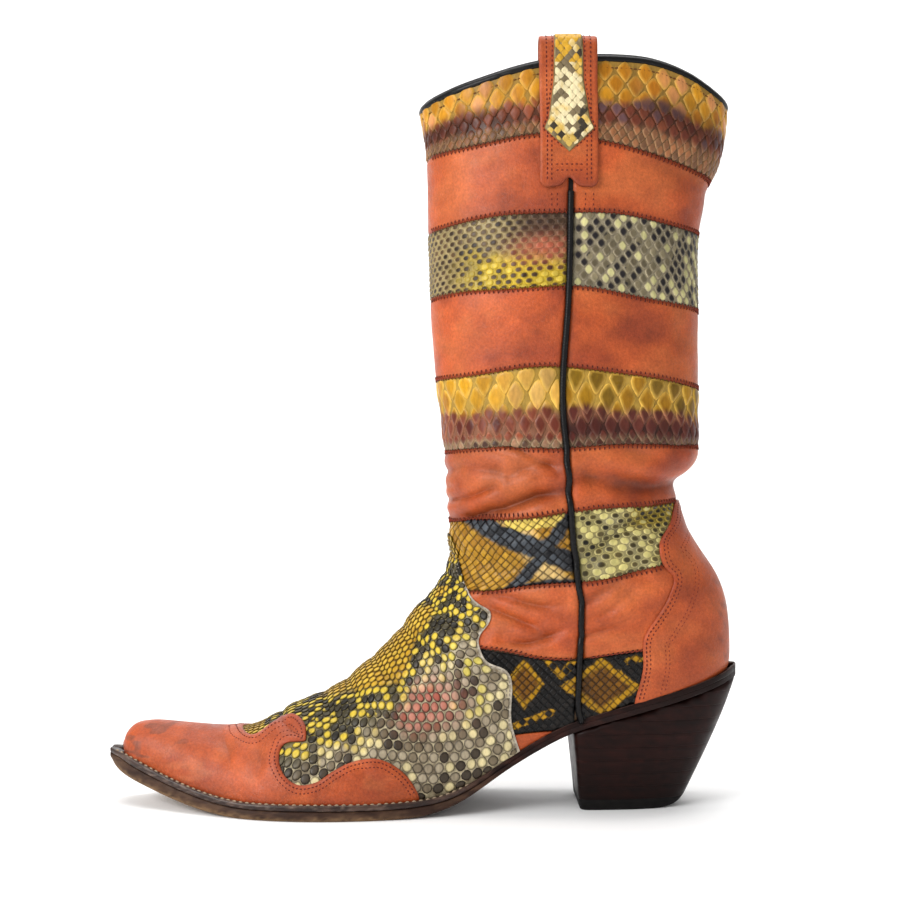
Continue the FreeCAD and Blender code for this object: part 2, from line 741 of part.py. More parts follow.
def make_heel():
    wires = []
    for name, *_rest in HEEL_SECTIONS:
        numbers = [size("heel_%s_%s" % (name, column)) for column in ("z", "breast", "back", "half")]
        wires.append(heel_wire(*numbers))
    block = Part.makeLoft(wires, True, False)
    under_sole = strip_prism([(x, -30.0) for x, _z in sole_line(0)], sole_line(0))
    block = block.common(under_sole)
    nail_list = []
    radius = size("nail_diameter") / 2.0
    for x, y in NAIL_PLACES:
        nail_list.append(Part.makeCylinder(radius, size("nail_length"), Vector(x, y, size("nail_recess"))))
    nails = Part.makeCompound(nail_list)
    add_piece("heel_nails", nails)
    drills = []
    for x, y in NAIL_PLACES:
        drills.append(Part.makeCylinder(radius, size("nail_length") + size("nail_recess") + 1.0, Vector(x, y, -1.0)))
    bored = DOCUMENT.addObject("Part::Feature", "heel_stack")
    bored.Shape = block.cut(Part.makeCompound(drills))
    slabs = [("heel_cap", "0", "Dimensions.heel_cap_thickness")]
    for number in range(1, int(size("lift_count")) + 1):
        low = "Dimensions.heel_cap_thickness + %d * Dimensions.lift_thickness" % (number - 1)
        slabs.append(("heel_lift_%d" % number, low, "Dimensions.lift_thickness"))
    for label, low, thick in slabs:
        slab = bound_box(label + "_slab", low, thick)
        common = DOCUMENT.addObject("Part::MultiCommon", label)
        common.Shapes = [bored, slab]
        keep(common, label)
    DOCUMENT.recompute()


def export(pieces):
    DOCUMENT.recompute()
    for item in DOCUMENT.Objects:
        if "Invalid" in item.State or "Error" in item.State:
            raise RuntimeError("failed object: " + item.Label)
    for piece in pieces:
        if piece.Shape.isNull() or not piece.Shape.isValid() or not piece.Shape.Solids:
            raise RuntimeError("bad shape: " + piece.Label)
    os.makedirs("parts", exist_ok=True)
    for piece in pieces:
        piece.Shape.exportStep(os.path.join("parts", piece.Label + ".step"))


make_bands()
make_linings()
make_piping()
make_vamp()
make_counter()
make_strap("left", 1.0)
make_strap("right", -1.0)
make_sole()
make_heel()
export(PIECES)
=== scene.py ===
import math

import bpy
import numpy as np
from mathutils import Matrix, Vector
from mathutils.bvhtree import BVHTree


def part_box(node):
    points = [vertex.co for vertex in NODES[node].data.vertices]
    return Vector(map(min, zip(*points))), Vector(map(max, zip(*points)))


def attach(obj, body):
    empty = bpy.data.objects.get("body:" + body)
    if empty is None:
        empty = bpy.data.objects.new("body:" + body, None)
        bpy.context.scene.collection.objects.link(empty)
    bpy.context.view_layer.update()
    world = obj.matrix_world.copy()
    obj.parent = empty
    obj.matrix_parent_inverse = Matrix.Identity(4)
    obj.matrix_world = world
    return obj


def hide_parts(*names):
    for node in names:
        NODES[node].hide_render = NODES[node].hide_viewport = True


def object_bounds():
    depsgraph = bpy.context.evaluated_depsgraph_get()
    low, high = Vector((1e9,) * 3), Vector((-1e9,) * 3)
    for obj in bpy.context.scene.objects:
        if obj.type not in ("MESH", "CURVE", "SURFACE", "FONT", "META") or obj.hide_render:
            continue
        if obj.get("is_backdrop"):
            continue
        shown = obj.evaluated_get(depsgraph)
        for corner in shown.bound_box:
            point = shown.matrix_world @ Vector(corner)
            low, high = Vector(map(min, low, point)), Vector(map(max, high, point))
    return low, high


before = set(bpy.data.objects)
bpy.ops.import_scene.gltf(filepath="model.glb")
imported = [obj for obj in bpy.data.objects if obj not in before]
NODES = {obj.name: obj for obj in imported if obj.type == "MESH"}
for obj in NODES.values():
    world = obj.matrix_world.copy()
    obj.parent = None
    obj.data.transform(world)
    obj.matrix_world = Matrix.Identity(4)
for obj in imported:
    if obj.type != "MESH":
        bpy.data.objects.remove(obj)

# Lengths in this script are millimetres in the CAD frame until a mesh is made.
MM = 0.001
CAD_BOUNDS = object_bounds()
TAU = 2.0 * math.pi
# Both sides of the boot, and both halves of its shaft.
SIDES = ((True, "left"), (False, "right"))
HALVES = ((False, "front"), (True, "back"))


def box_mm(node):
    low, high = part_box(node)
    return np.array(low) / MM, np.array(high) / MM


# ------------------------------------------------------------------ colours and noise

def linear(red, green, blue):
    """Linear light values of a colour given as 0 to 255 display values."""
    values = np.array([red, green, blue]) / 255.0
    return np.where(values <= 0.04045, values / 12.92, ((values + 0.055) / 1.055) ** 2.4)


def mix(one, other, share):
    share = np.clip(np.asarray(share, float), 0.0, 1.0)[..., None]
    return np.asarray(one) * (1.0 - share) + np.asarray(other) * share


def smooth_step(low, high, value):
    share = np.clip((value - low) / (high - low), 0.0, 1.0)
    return share * share * (3.0 - 2.0 * share)


def hashed(ix, iy, seed):
    value = np.sin(ix * 127.1 + iy * 311.7 + seed * 74.7) * 43758.5453
    return value - np.floor(value)


def noise(x, y, seed=0.0):
    """Smooth value noise between 0 and 1."""
    ix, iy = np.floor(x), np.floor(y)
    fx, fy = x - ix, y - iy
    fx, fy = fx * fx * (3 - 2 * fx), fy * fy * (3 - 2 * fy)
    low = hashed(ix, iy, seed) * (1 - fx) + hashed(ix + 1, iy, seed) * fx
    high = hashed(ix, iy + 1, seed) * (1 - fx) + hashed(ix + 1, iy + 1, seed) * fx
    return low * (1 - fy) + high * fy


def clouds(x, y, seed=0.0):
    broad = 0.55 * noise(x, y, seed) + 0.3 * noise(2.1 * x, 2.1 * y, seed + 3)
    return broad + 0.15 * noise(4.3 * x, 4.3 * y, seed + 7)


# ------------------------------------------------------------------ the boot's skin

# Rows of the skin: level above the pivot, then a fan about it, then upright across the toe.
PIVOT_X, PIVOT_Z = -60.0, 150.0
FAN_MM = 1.6
FAN_END = 90.0 * FAN_MM
COLUMNS = 360
# A row of the shaft whose near side surely faces -Y.
CHECK_ROW = 100
# Height of the middle of the bands' skin above the lining.
BAND_MIDDLE = 1.4
# The nose of the toe: where it starts to close, its length, its rows and its roundness.
NOSE_START, NOSE_LENGTH, NOSE_ROWS, NOSE_POWER = -128.5, 6.3, 14.0, 2.3
NOSE_ROW = FAN_END + PIVOT_X - NOSE_START
NOSE_POLE = NOSE_ROW + NOSE_ROWS
NOSE_END = NOSE_POLE + 1.0
S_TOP, S_TIP = -192.0, NOSE_POLE + 5.0


def nose_turn(s):
    """Angle round the nose, from 0 where it starts to a quarter turn at its pole."""
    return np.clip((s - NOSE_ROW) / NOSE_ROWS, 0.0, 1.0) * math.pi / 2.0


def row_frames(s):
    """Origin and direction, in the side view, of the straight line that each row lies on."""
    s = np.asarray(s, float)
    angle = np.radians(np.clip(s / FAN_MM, 0.0, 90.0))
    origin = np.stack([np.full_like(s, PIVOT_X), np.full_like(s, PIVOT_Z)], -1)
    origin[..., 1] += np.maximum(0.0, -s)
    origin[..., 0] -= np.maximum(0.0, np.minimum(s, NOSE_ROW) - FAN_END)
    origin[..., 0] -= NOSE_LENGTH * np.sin(nose_turn(s)) ** (2.0 / NOSE_POWER)
    return origin, np.stack([np.cos(angle), -np.sin(angle)], -1)


def row_of(x, z):
    """Row through a side-view point."""
    x, z = np.asarray(x, float), np.asarray(z, float)
    fan = np.degrees(np.arctan2(PIVOT_Z - z, np.maximum(x - PIVOT_X, 1e-6))) * FAN_MM
    gone = np.clip((NOSE_START - x) / NOSE_LENGTH, 0.0, 1.0) ** (NOSE_POWER / 2.0)
    ahead = np.where(x < NOSE_START, NOSE_ROW + NOSE_ROWS * np.arcsin(gone) * 2.0 / math.pi, FAN_END
                     + PIVOT_X - x)
    return np.where(z >= PIVOT_Z, PIVOT_Z - z, np.where(x < PIVOT_X, ahead, fan))


def bilinear(table, row, column):
    """Value of a table between its entries."""
    i, j = np.floor(row).astype(int), np.floor(column).astype(int)
    p, q = row - i, column - j
    return (table[i, j] * (1 - p) * (1 - q) + table[i + 1, j] * p * (1 - q)
            + table[i, j + 1] * (1 - p) * q + table[i + 1, j + 1] * p * q)


def unit(vectors):
    return vectors / (np.linalg.norm(vectors, axis=-1)[..., None] + 1e-9)


def run_along(points):
    """Distance along a path at each of its points, in 3-D."""
    return np.concatenate([[0.0], np.cumsum(np.linalg.norm(np.diff(points, axis=0), axis=1))])


def run_across(points):
    """Distance along a path at each of its points, in a plane."""
    return np.concatenate([[0.0], np.cumsum(np.hypot(*np.diff(points, axis=0).T))])


def tree_of(*names):
    points, faces = [], []
    for name in names:
        mesh = NODES[name].data
        start = len(points)
        points += [vertex.co / MM for vertex in mesh.vertices]
        faces += [[start + index for index in polygon.vertices] for polygon in mesh.polygons]
    return BVHTree.FromPolygons(points, faces)


def hit(tree, start, end):
    """First place on the line from start to end that meets the tree."""
    start, end = Vector(start), Vector(end)
    reach = (end - start).length
    found = tree.ray_cast(start, (end - start) / reach, reach)[0]
    return None if found is None else np.array(found)


def filled(values):
    """A row of numbers with its gaps filled, straight between neighbours and level at the ends."""
    good = ~np.isnan(values)
    return np.interp(np.arange(len(values)), np.nonzero(good)[0], values[good])


def blurred(values, width, axis=0, wrap=False):
    reach = int(3 * width + 1)
    weights = np.exp(-0.5 * (np.arange(-reach, reach + 1) / width) ** 2)
    weights /= weights.sum()
    total = np.zeros_like(values)
    for weight, step in zip(weights, range(-reach, reach + 1)):
        if wrap:
            total += weight * np.roll(values, step, axis)
        else:
            index = np.clip(np.arange(values.shape[axis]) + step, 0, values.shape[axis] - 1)
            total += weight * np.take(values, index, axis)
    return total


def measure_skin():
    """The lining's outer face, ray by ray, as a grid of points over rows and columns."""
    lining = tree_of("vamp_lining", "shaft_lining_front", "shaft_lining_back")
    closed = tree_of("vamp_lining", "shaft_lining_front", "shaft_lining_back", "insole")
    rows = np.arange(S_TOP, S_TIP, 1.0)
    origin, way = row_frames(rows)
    front, back = np.full(len(rows), np.nan), np.full(len(rows), np.nan)
    for index, (point, ahead) in enumerate(zip(origin, way)):
        level = rows[index] < 0
        near, hub_near, hub_far, far = (
            (point[0] + reach * ahead[0], 0.0, point[1] + reach * ahead[1])
            for reach in (-60.0, 110.0 if level else 300.0, 150.0 if level else -60.0, 300.0)
        )
        for tree, start, end, store in ((lining, near, hub_near, front), (closed, far, hub_far, back)):
            found = hit(tree, start, end)
            if found is not None:
                store[index] = (found[[0, 2]] - point) @ ahead
    front, back = filled(front), filled(back)
    middle = blurred((front + back) / 2.0, 4.0)
    half = blurred((back - front) / 2.0, 4.0)
    side = np.full(len(rows), np.nan)
    for index, (point, ahead) in enumerate(zip(origin, way)):
        centre = point + ahead * middle[index]
        found = hit(lining, (centre[0], -90.0, centre[1]), (centre[0], 0.0, centre[1]))
        if found is not None:
            side[index] = -found[1]
    side = blurred(filled(side), 4.0)
    angles = np.arange(COLUMNS) * TAU / COLUMNS
    grid = np.full((len(rows), COLUMNS, 3), np.nan)
    for index, (point, ahead) in enumerate(zip(origin, way)):
        centre = np.array([point[0] + ahead[0] * middle[index], 0.0, point[1] + ahead[1] * middle[index]])
        for column, angle in enumerate(angles):
            along = -math.cos(angle) * half[index]
            out = np.array([ahead[0] * along, -math.sin(angle) * side[index], ahead[1] * along])
            out *= 130.0 / np.linalg.norm(out)
            found = hit(lining, centre + out, centre)
            if found is not None:
                grid[index, column] = found
    centres = np.stack([origin[:, 0] + way[:, 0] * middle, 0 * middle, origin[:, 1] + way[:, 1] * middle], -1)
    return rows, grid, centres, (half, side, way)


def fill_skin(rows, grid, centres, spans):
    """Carries the grid on above the rim, under the foot and round the nose of the toe."""
    for column in range(COLUMNS):
        good = np.nonzero(~np.isnan(grid[:150, column, 0]))[0]
        first = good[0] if len(good) else 0
        if first:
            slope = (grid[first + 12, column] - grid[first + 1, column]) / 11.0
            for index in range(first + 1):
                grid[index, column] = grid[first + 1, column] - slope * (first + 1 - index)
    half, side, way = spans
    angles = np.arange(COLUMNS) * TAU / COLUMNS
    for index in range(len(rows)):
        along = -np.cos(angles) * half[index]
        out = np.stack([way[index, 0] * along, -np.sin(angles) * side[index], way[index, 1] * along], -1)
        out /= np.linalg.norm(out, axis=1)[:, None]
        reach = np.linalg.norm(grid[index] - centres[index], axis=1)
        if np.isnan(reach).all():
            grid[index] = grid[index - 1] + (grid[index - 1] - grid[index - 2])
            continue
        if np.isnan(reach).any():
            turns = np.concatenate([reach, reach, reach])
            grid_reach = filled(turns)[COLUMNS : 2 * COLUMNS]
            lost = np.isnan(reach)
            grid[index, lost] = centres[index] + out[lost] * grid_reach[lost, None]
    origin, _way = row_frames(rows)
    nose = np.nonzero(rows > NOSE_ROW)[0]
    base = grid[nose[0] - 1].copy()
    drift = (grid[nose[0] - 1] - grid[nose[0] - 9]) / 8.0
    for index in nose:
        shrink = max(0.02 + 0.018 * (S_TIP - rows[index]),
                     math.cos(nose_turn(rows[index])) ** (2.0 / NOSE_POWER))
        ring = base + drift * (NOSE_START - origin[index, 0]) * 0.6
        hub = ring.mean(0)
        hub[2] = ring[:, 2].max() * 0.52 + ring[:, 2].min() * 0.48
        ring = hub + (ring - hub) * shrink
        ring[:, 0] = origin[index, 0]
        grid[index] = ring
    return blurred(blurred(grid, 1.3, 0), 1.3, 1, wrap=True)


def normals_of(grid):
    """Outward directions of a grid, turned the right way by a place on the near side."""
    down = np.gradient(grid, axis=0)
    around = (np.roll(grid, -1, 1) - np.roll(grid, 1, 1)) / 2.0
    normal = np.cross(down, around)
    normal /= np.linalg.norm(normal, axis=2)[..., None] + 1e-12
    inwards = normal[CHECK_ROW, COLUMNS // 4, 1] > 0.0
    return -normal if inwards else normal


ROWS, RAW, CENTRES, SPANS = measure_skin()
PLAIN = fill_skin(ROWS, RAW, CENTRES, SPANS)
OUTWARD = normals_of(PLAIN)


def sample(grid, s, a):
    """Smooth (bicubic) value of a grid at rows s and angles a."""
    s, a = np.broadcast_arrays(np.asarray(s, float), np.asarray(a, float))
    row = np.clip(s - ROWS[0], 1.0, len(ROWS) - 3.001)
    column = np.mod(a / TAU * COLUMNS, COLUMNS)
    i, j = np.floor(row).astype(int), np.floor(column).astype(int)
    total = 0.0
    weights = []
    for part in (row - i, column - j):
        p2, p3 = part * part, part ** 3
        weights.append([
            -0.5 * part + p2 - 0.5 * p3,
            1.0 - 2.5 * p2 + 1.5 * p3,
            0.5 * part + 2.0 * p2 - 1.5 * p3,
            0.5 * p3 - 0.5 * p2,
        ])
    for di in range(4):
        for dj in range(4):
            weight = weights[0][di] * weights[1][dj]
            value = grid[i + di - 1, (j + dj - 1) % COLUMNS]
            total = total + (weight[..., None] * value if value.ndim > weight.ndim else weight * value)
    return total


# ------------------------------------------------------------------ folds and wrinkles

def path_distance(x, z, points):
    """Distance of side-view points from a polyline, and how far along it they lie, 0 to 1."""
    best = np.full(np.shape(x), 1e9)
    where = np.zeros(np.shape(x))
    count = len(points) - 1
    for number, ((x0, z0), (x1, z1)) in enumerate(zip(points, points[1:])):
        dx, dz = x1 - x0, z1 - z0
        share = np.clip(((x - x0) * dx + (z - z0) * dz) / (dx * dx + dz * dz), 0.0, 1.0)
        gap = np.hypot(x - x0 - share * dx, z - z0 - share * dz)
        nearer = gap < best
        best = np.where(nearer, gap, best)
        where = np.where(nearer, (number + share) / count, where)
    return best, where


# Each fold: its line in the side view, depth, half width, and the sides it shows on.
FOLDS = [
    ([(14, 131), (24, 132.5), (38, 137), (52, 142.5), (64, 144)], 4.2, 3.2, "near"),
    ([(13, 127), (30, 125.5), (46, 128), (60, 131)], 0.9, 3.0, "near"),
    ([(128, 150), (116, 147.5), (104, 145), (88, 146.5), (74, 151)], 3.0, 4.4, "both"),
    ([(122, 138), (108, 136.5), (94, 131), (80, 120.5), (72, 113)], 2.6, 3.0, "near"),
    ([(122, 158), (104, 160), (86, 163)], 1.1, 4.0, "near"),
    ([(100, 153), (88, 152), (78, 156)], 0.8, 3.0, "near"),
    ([(12, 118), (22, 113), (34, 112), (48, 113)], 0.8, 3.0, "both"),
    ([(30, 97), (40, 96), (52, 93), (64, 94)], 1.9, 2.0, "near"),
    ([(27, 93), (38, 89), (50, 84), (57, 79)], 2.2, 2.2, "near"),
    ([(36, 77), (46, 76), (54, 78), (62, 82)], 1.9, 2.0, "both"),
    ([(72, 94), (80, 99), (90, 106), (97, 111)], 2.2, 2.4, "near"),
    ([(76, 88), (84, 92), (92, 99), (99, 106)], 2.0, 2.0, "near"),
    ([(73, 80), (82, 83), (92, 86)], 1.4, 2.0, "both"),
    ([(10, 139), (22, 141), (34, 146)], 2.3, 1.9, "near"),
    ([(40, 152), (50, 156), (62, 156)], 1.5, 2.2, "near"),
    ([(8, 152), (20, 155), (34, 153)], 1.4, 2.4, "both"),
    ([(32, 168), (44, 163), (54, 158), (62, 152)], 1.6, 1.9, "near"),
    ([(34, 174), (46, 168), (56, 162), (63, 157)], 1.4, 1.9, "near"),
    ([(74, 140), (86, 138), (98, 140)], 1.6, 2.2, "near"),
    ([(104, 166), (114, 164), (124, 166)], 1.2, 2.2, "near"),
    ([(-92, 30), (-86, 24), (-84, 17)], 0.9, 2.4, "near"),
    ([(-72, 28), (-70, 22), (-72, 15)], 0.8, 2.6, "near"),
    ([(-28, 22), (-22, 17), (-14, 14)], 0.8, 2.4, "near"),
    ([(-66, 41), (-60, 36), (-52, 32)], 1.3, 2.2, "both"),
    ([(-46, 50), (-40, 43), (-30, 37)], 0.8, 2.2, "both"),
    ([(-34, 56), (-26, 49), (-14, 43), (-2, 40)], 0.8, 2.6, "both"),
    ([(-22, 66), (-12, 58), (0, 52), (12, 50)], 0.8, 2.8, "both"),
    ([(-8, 80), (2, 73), (12, 69)], 0.9, 2.8, "both"),
    ([(2, 93), (10, 87), (20, 82)], 0.8, 2.4, "both"),
    ([(10, 108), (17, 102), (24, 100)], 0.9, 2.4, "both"),
    ([(6, 178), (22, 181), (40, 180)], 0.6, 6.0, "near"),
    ([(8, 163), (24, 160), (44, 163)], 0.7, 4.0, "both"),
    ([(90, 188), (110, 182), (128, 178)], 0.8, 5.0, "both"),
    ([(84, 174), (104, 170), (126, 168)], 0.7, 4.0, "near"),
    ([(128, 284), (114, 288), (98, 290)], 1.4, 6.0, "both"),
    ([(6, 246), (26, 240), (48, 243)], 0.5, 8.0, "near"),
    ([(84, 222), (104, 214), (124, 212)], 0.5, 8.0, "near"),
    ([(6, 214), (30, 220), (54, 216)], 0.4, 8.0, "far"),
]


# Lower edge of the foot, x and height, towards which the folds die out over the fade, in mm.
FOOT_EDGE = [(-140, 26), (-100, 14), (-75, 8), (0, 9), (20, 14), (66, 41), (145, 65)]
FOOT_EDGE_FADE = 14.0


def fold_field(x, y, z):
    """How far folds push the skin in (negative) or out, in mm."""
    total = np.zeros(np.shape(x))
    for points, depth, width, sides in FOLDS:
        gap, along = path_distance(x, z, points)
        ends = smooth_step(0.0, 0.22, along) * (1.0 - 0.6 * smooth_step(0.75, 1.0, along))
        ends = np.maximum(ends, 0.75 if sides == "both" else 0.45)
        fade = 1.0 - smooth_step(0.0, 1.0, (gap - 3.0 * width) / width)
        wave = -np.exp(-((gap / width) ** 2)) + 0.42 * np.exp(-(((gap - 2.0 * width) / width) ** 2))
        show = 1.0
        if sides == "near":
            show = smooth_step(8.0, -8.0, y)
        elif sides == "far":
            show = smooth_step(-8.0, 8.0, y)
        total += depth * wave * fade * ends * show
    soft = clouds(x / 26.0 + 5.0, z / 22.0, 11.0) - 0.5
    total += 1.1 * soft * smooth_step(-30.0, 30.0, x) + 0.25 * soft
    # Fine puckers that run across the ankle.
    ankle = smooth_step(60.0, 84.0, z) * smooth_step(176.0, 140.0, z) * smooth_step(6.0, 20.0, x)
    rising = noise((x + 0.35 * z) / 15.0, (z - 0.35 * x) / 3.4, 12.0) - 0.5
    falling = noise((x - 0.5 * z) / 12.0, (z + 0.5 * x) / 3.0, 14.0) - 0.5
    return total + ankle * (1.25 * rising + 1.0 * falling) * smooth_step(128.0, 104.0, x)


FOLD_MM = fold_field(PLAIN[..., 0], PLAIN[..., 1], PLAIN[..., 2])
ABOVE_FOOT_EDGE = PLAIN[..., 2] - np.interp(PLAIN[..., 0], *np.transpose(FOOT_EDGE))
FOLD_SHARE = smooth_step(0.0, FOOT_EDGE_FADE, ABOVE_FOOT_EDGE)
TOE_CALM = smooth_step(-112.0, -84.0, PLAIN[..., 0])
FOLD_MM = blurred(blurred(FOLD_MM * FOLD_SHARE * TOE_CALM, 1.0, 0), 1.0, 1, wrap=True)
SKIN = PLAIN + OUTWARD * FOLD_MM[..., None]
NORMAL = normals_of(SKIN)
NORMAL[ROWS >= NOSE_POLE - 0.5] = (-1.0, 0.0, 0.0)
NORMAL = blurred(blurred(NORMAL, 1.0, 0), 1.0, 1, wrap=True)


def at_skin(s, a, lift):
    """Points at a height above the lining's outer face."""
    normal = sample(NORMAL, s, a)
    normal = normal / np.linalg.norm(normal, axis=-1)[..., None]
    return sample(SKIN, s, a) + normal * np.asarray(lift, float)[..., None]


def angle_at(s, x, z, near=True):
    """Column angle where row s passes the side-view point (x, z)."""
    angles = np.linspace(0.0, math.pi, 241)
    s, x, z = np.broadcast_arrays(*(np.atleast_1d(np.asarray(v, float)) for v in (s, x, z)))
    _origin, way = row_frames(s)
    points = sample(PLAIN, s[:, None], angles[None, :] if near else -angles[None, :])
    along = points[..., 0] * way[:, None, 0] + points[..., 2] * way[:, None, 1]
    wanted = x * way[:, 0] + z * way[:, 1]
    found = []
    for row, want in zip(along, wanted):
        rising = np.maximum.accumulate(row)
        found.append(np.interp(want, rising + np.arange(len(rising)) * 1e-7, angles))
    found = np.array(found)
    return found if near else -found


def locate(points, near=True):
    """Rows and angles of side-view points."""
    points = np.asarray(points, float)
    s = row_of(points[:, 0], points[:, 1])
    return s, angle_at(s, points[:, 0], points[:, 1], near)


# ------------------------------------------------------------------ meshes

class Build:
    """Collects points, faces and colours for one piece."""

    def __init__(self):
        self.points, self.colours, self.faces = [], [], {}
        self.count = 0

    def add(self, points, colour, faces):
        points = np.asarray(points, float).reshape(-1, 3)
        colour = np.broadcast_to(np.asarray(colour, float),
                                 (len(points), 3)) if np.ndim(colour) == 1 else colour
        self.points.append(points)
        self.colours.append(np.asarray(colour, float).reshape(-1, 3))
        for part in faces:
            part = np.asarray(part, int)
            if len(part):
                self.faces.setdefault(part.shape[1], []).append(part + self.count)
        self.count += len(points)

    def grid(self, points, colour, flip=False, wrap=False, ends=False):
        """An open sheet from a grid of points, or a tube when its columns wrap."""
        rows, columns = points.shape[:2]
        index = np.arange(rows * columns).reshape(rows, columns)
        right = np.roll(index, -1, 1) if wrap else index[:, 1:]
        left = index if wrap else index[:, :-1]
        quads = np.stack([left[:-1], right[:-1], right[1:], left[1:]], -1).reshape(-1, 4)
        faces = [quads[:, ::-1] if flip else quads]
        if ends:
            for row, turned in ((index[0], not flip), (index[-1], flip)):
                faces.append((row[::-1] if turned else row)[None, :])
        self.add(points, colour, faces)

    def slab(self, top, bottom, colour, under=None, mirror=False):
        """A closed sheet with an outer and an inner face; under is the colour of the inner one."""
        if mirror:
            top, bottom, colour = top[:, ::-1], bottom[:, ::-1], colour[:, ::-1]
        rows, columns = top.shape[:2]
        size = rows * columns
        index = np.arange(size).reshape(rows, columns)
        quads = np.stack([index[:-1, :-1], index[:-1, 1:], index[1:, 1:], index[1:, :-1]], -1).reshape(-1, 4)
        rim = np.concatenate([index[0, :-1], index[:-1, -1], index[-1, :0:-1], index[:0:-1, 0]])
        after = np.roll(rim, -1)
        wall = np.stack([rim, rim + size, after + size, after], -1)
        colour = np.broadcast_to(colour, top.shape)
        under = colour if under is None else np.broadcast_to(under, top.shape)
        points = np.concatenate([top.reshape(-1, 3), bottom.reshape(-1, 3)])
        tints = np.concatenate([colour.reshape(-1, 3), under.reshape(-1, 3)])
        self.add(points, tints, [quads, quads[:, ::-1] + size, wall])

    def piece(self, name, slot, material, *nodes, smooth=True):
        points = np.concatenate(self.points) * MM
        colours = np.concatenate(self.colours)
        mesh = bpy.data.meshes.new(name)
        mesh.vertices.add(len(points))
        mesh.vertices.foreach_set("co", points.ravel())
        groups = [np.concatenate(parts) for parts in self.faces.values()]
        corners = np.concatenate([group.ravel() for group in groups])
        sizes = np.concatenate([np.full(len(group), group.shape[1]) for group in groups])
        mesh.loops.add(len(corners))
        mesh.loops.foreach_set("vertex_index", corners)
        mesh.polygons.add(len(sizes))
        mesh.polygons.foreach_set("loop_start", np.concatenate([[0], np.cumsum(sizes)[:-1]]))
        mesh.polygons.foreach_set("use_smooth", np.full(len(sizes), smooth))
        mesh.update()
        mesh.validate()
        layer = mesh.color_attributes.new("Tint", "FLOAT_COLOR", "POINT")
        layer.data.foreach_set("color", np.concatenate([colours, np.ones((len(colours), 1))], 1).ravel())
        mesh.materials.append(material)
        piece = bpy.data.objects.new(name, mesh)
        bpy.context.scene.collection.objects.link(piece)
        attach(piece, "root")
        if nodes:
            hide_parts(*nodes)
        return piece


def prism_faces(count, rows, sides, flip=False):
    """Faces of many closed prisms, each with the same rings of points from end to end."""
    index = np.arange(rows * sides).reshape(rows, sides)
    right = np.roll(index, -1, 1)
    corners = [index[:-1], right[:-1], right[1:], index[1:]]
    caps = [index[0][::-1], index[-1]]
    if flip:
        corners = corners[:1] + corners[:0:-1]
        caps = [cap[::-1] for cap in caps]
    quads = np.stack(corners, -1).reshape(-1, 4)
    shift = (np.arange(count) * rows * sides)[:, None, None]
    return [(quads[None] + shift).reshape(-1, 4), (np.stack(caps)[None] + shift).reshape(-1, sides)]


def capsules(build, starts, ends, ups, radius, colour, sink=0.35, sides=6):
    """Short rounded threads from start to end, bowed up in the middle and sunk at their ends."""
    starts, ends, ups = (np.asarray(part, float) for part in (starts, ends, ups))
    along = ends - starts
    length = np.linalg.norm(along, axis=1)[:, None] + 1e-9
    along = along / length
    side = unit(np.cross(ups, along))
    lift = np.cross(along, side)
    stations = [(-0.02, 0.25, -1.0), (0.07, 0.8, -0.4), (0.25, 1.0, 0.25), (0.5, 1.05, 0.5),
                (0.75, 1.0, 0.25), (0.93, 0.8, -0.4), (1.02, 0.25, -1.0)]
    turns = np.arange(sides) * TAU / sides
    rings = []
    for share, fat, rise in stations:
        centre = starts + along * length * share + lift * radius * (rise - sink)
        ring = centre[:, None, :] + fat * radius * (
            np.cos(turns)[None, :, None] * side[:, None, :] + np.sin(turns)[None, :, None] * lift[:, None, :]
        )
        rings.append(ring)
    points = np.stack(rings, 1)
    count, rows = points.shape[:2]
    build.add(points, np.asarray(colour, float), prism_faces(count, rows, sides))


def tube(build, path, ups, radii, colour, sides=10, flat=1.0):
    """A round or flattened bead along a path of points."""
    path, ups = np.asarray(path, float), np.asarray(ups, float)
    along = unit(np.gradient(path, axis=0))
    side = unit(np.cross(ups, along))
    lift = np.cross(along, side)
    turns = np.arange(sides) * TAU / sides
    radii = np.broadcast_to(radii, len(path))[:, None, None]
    points = path[:, None, :] + radii * (
        np.cos(turns)[None, :, None] * side[:, None, :]
        + flat * np.sin(turns)[None, :, None] * lift[:, None, :]
    )
    tints = np.broadcast_to(colour, (len(path), 3)) if np.ndim(colour) == 1 else colour
    build.grid(points, np.repeat(tints[:, None, :], sides, 1).reshape(-1, 3), wrap=True, ends=True)


# ------------------------------------------------------------------ seams of the shaft

RIM = [(-20, 318.4), (-2, 320), (20, 325), (52, 332.4), (84, 335), (104, 333.8), (118, 330), (141, 321),
       (165, 317)]
BAND_SEAMS = [
    (296.5, 300.4, 288.0),
    (263.0, 267.2, 262.0),
    (232.0, 234.0, 226.5),
    (195.0, 199.0, 191.0),
    (162.5, 163.6, 165.0),
    (129.0, 135.0, 139.0),
    (97.0, 103.6, 112.0),
    (74.0, 69.8, 76.0),
    (32.0, 38.0, 38.0),
]
SIDE_SEAM = [(66, 360), (66, 290), (65, 232), (62.6, 182), (65.4, 150), (67.6, 120), (71, 92), (70.4, 66),
             (68.4, 30)]


def through(points, at):
    """Smooth curve through points, value at a place."""
    points = np.asarray(sorted(points), float)
    x, y = points[:, 0], points[:, 1]
    slopes = np.gradient(y, x)
    at = np.clip(np.asarray(at, float), x[0], x[-1])
    i = np.clip(np.searchsorted(x, at) - 1, 0, len(x) - 2)
    width = x[i + 1] - x[i]
    u = (at - x[i]) / width
    start, end = (1 + 2 * u) * (1 - u) ** 2, u * u * (3 - 2 * u)
    return start * y[i] + end * y[i + 1] + width * (u * (1 - u) ** 2 * slopes[i]
                                                    + u * u * (u - 1) * slopes[i + 1])


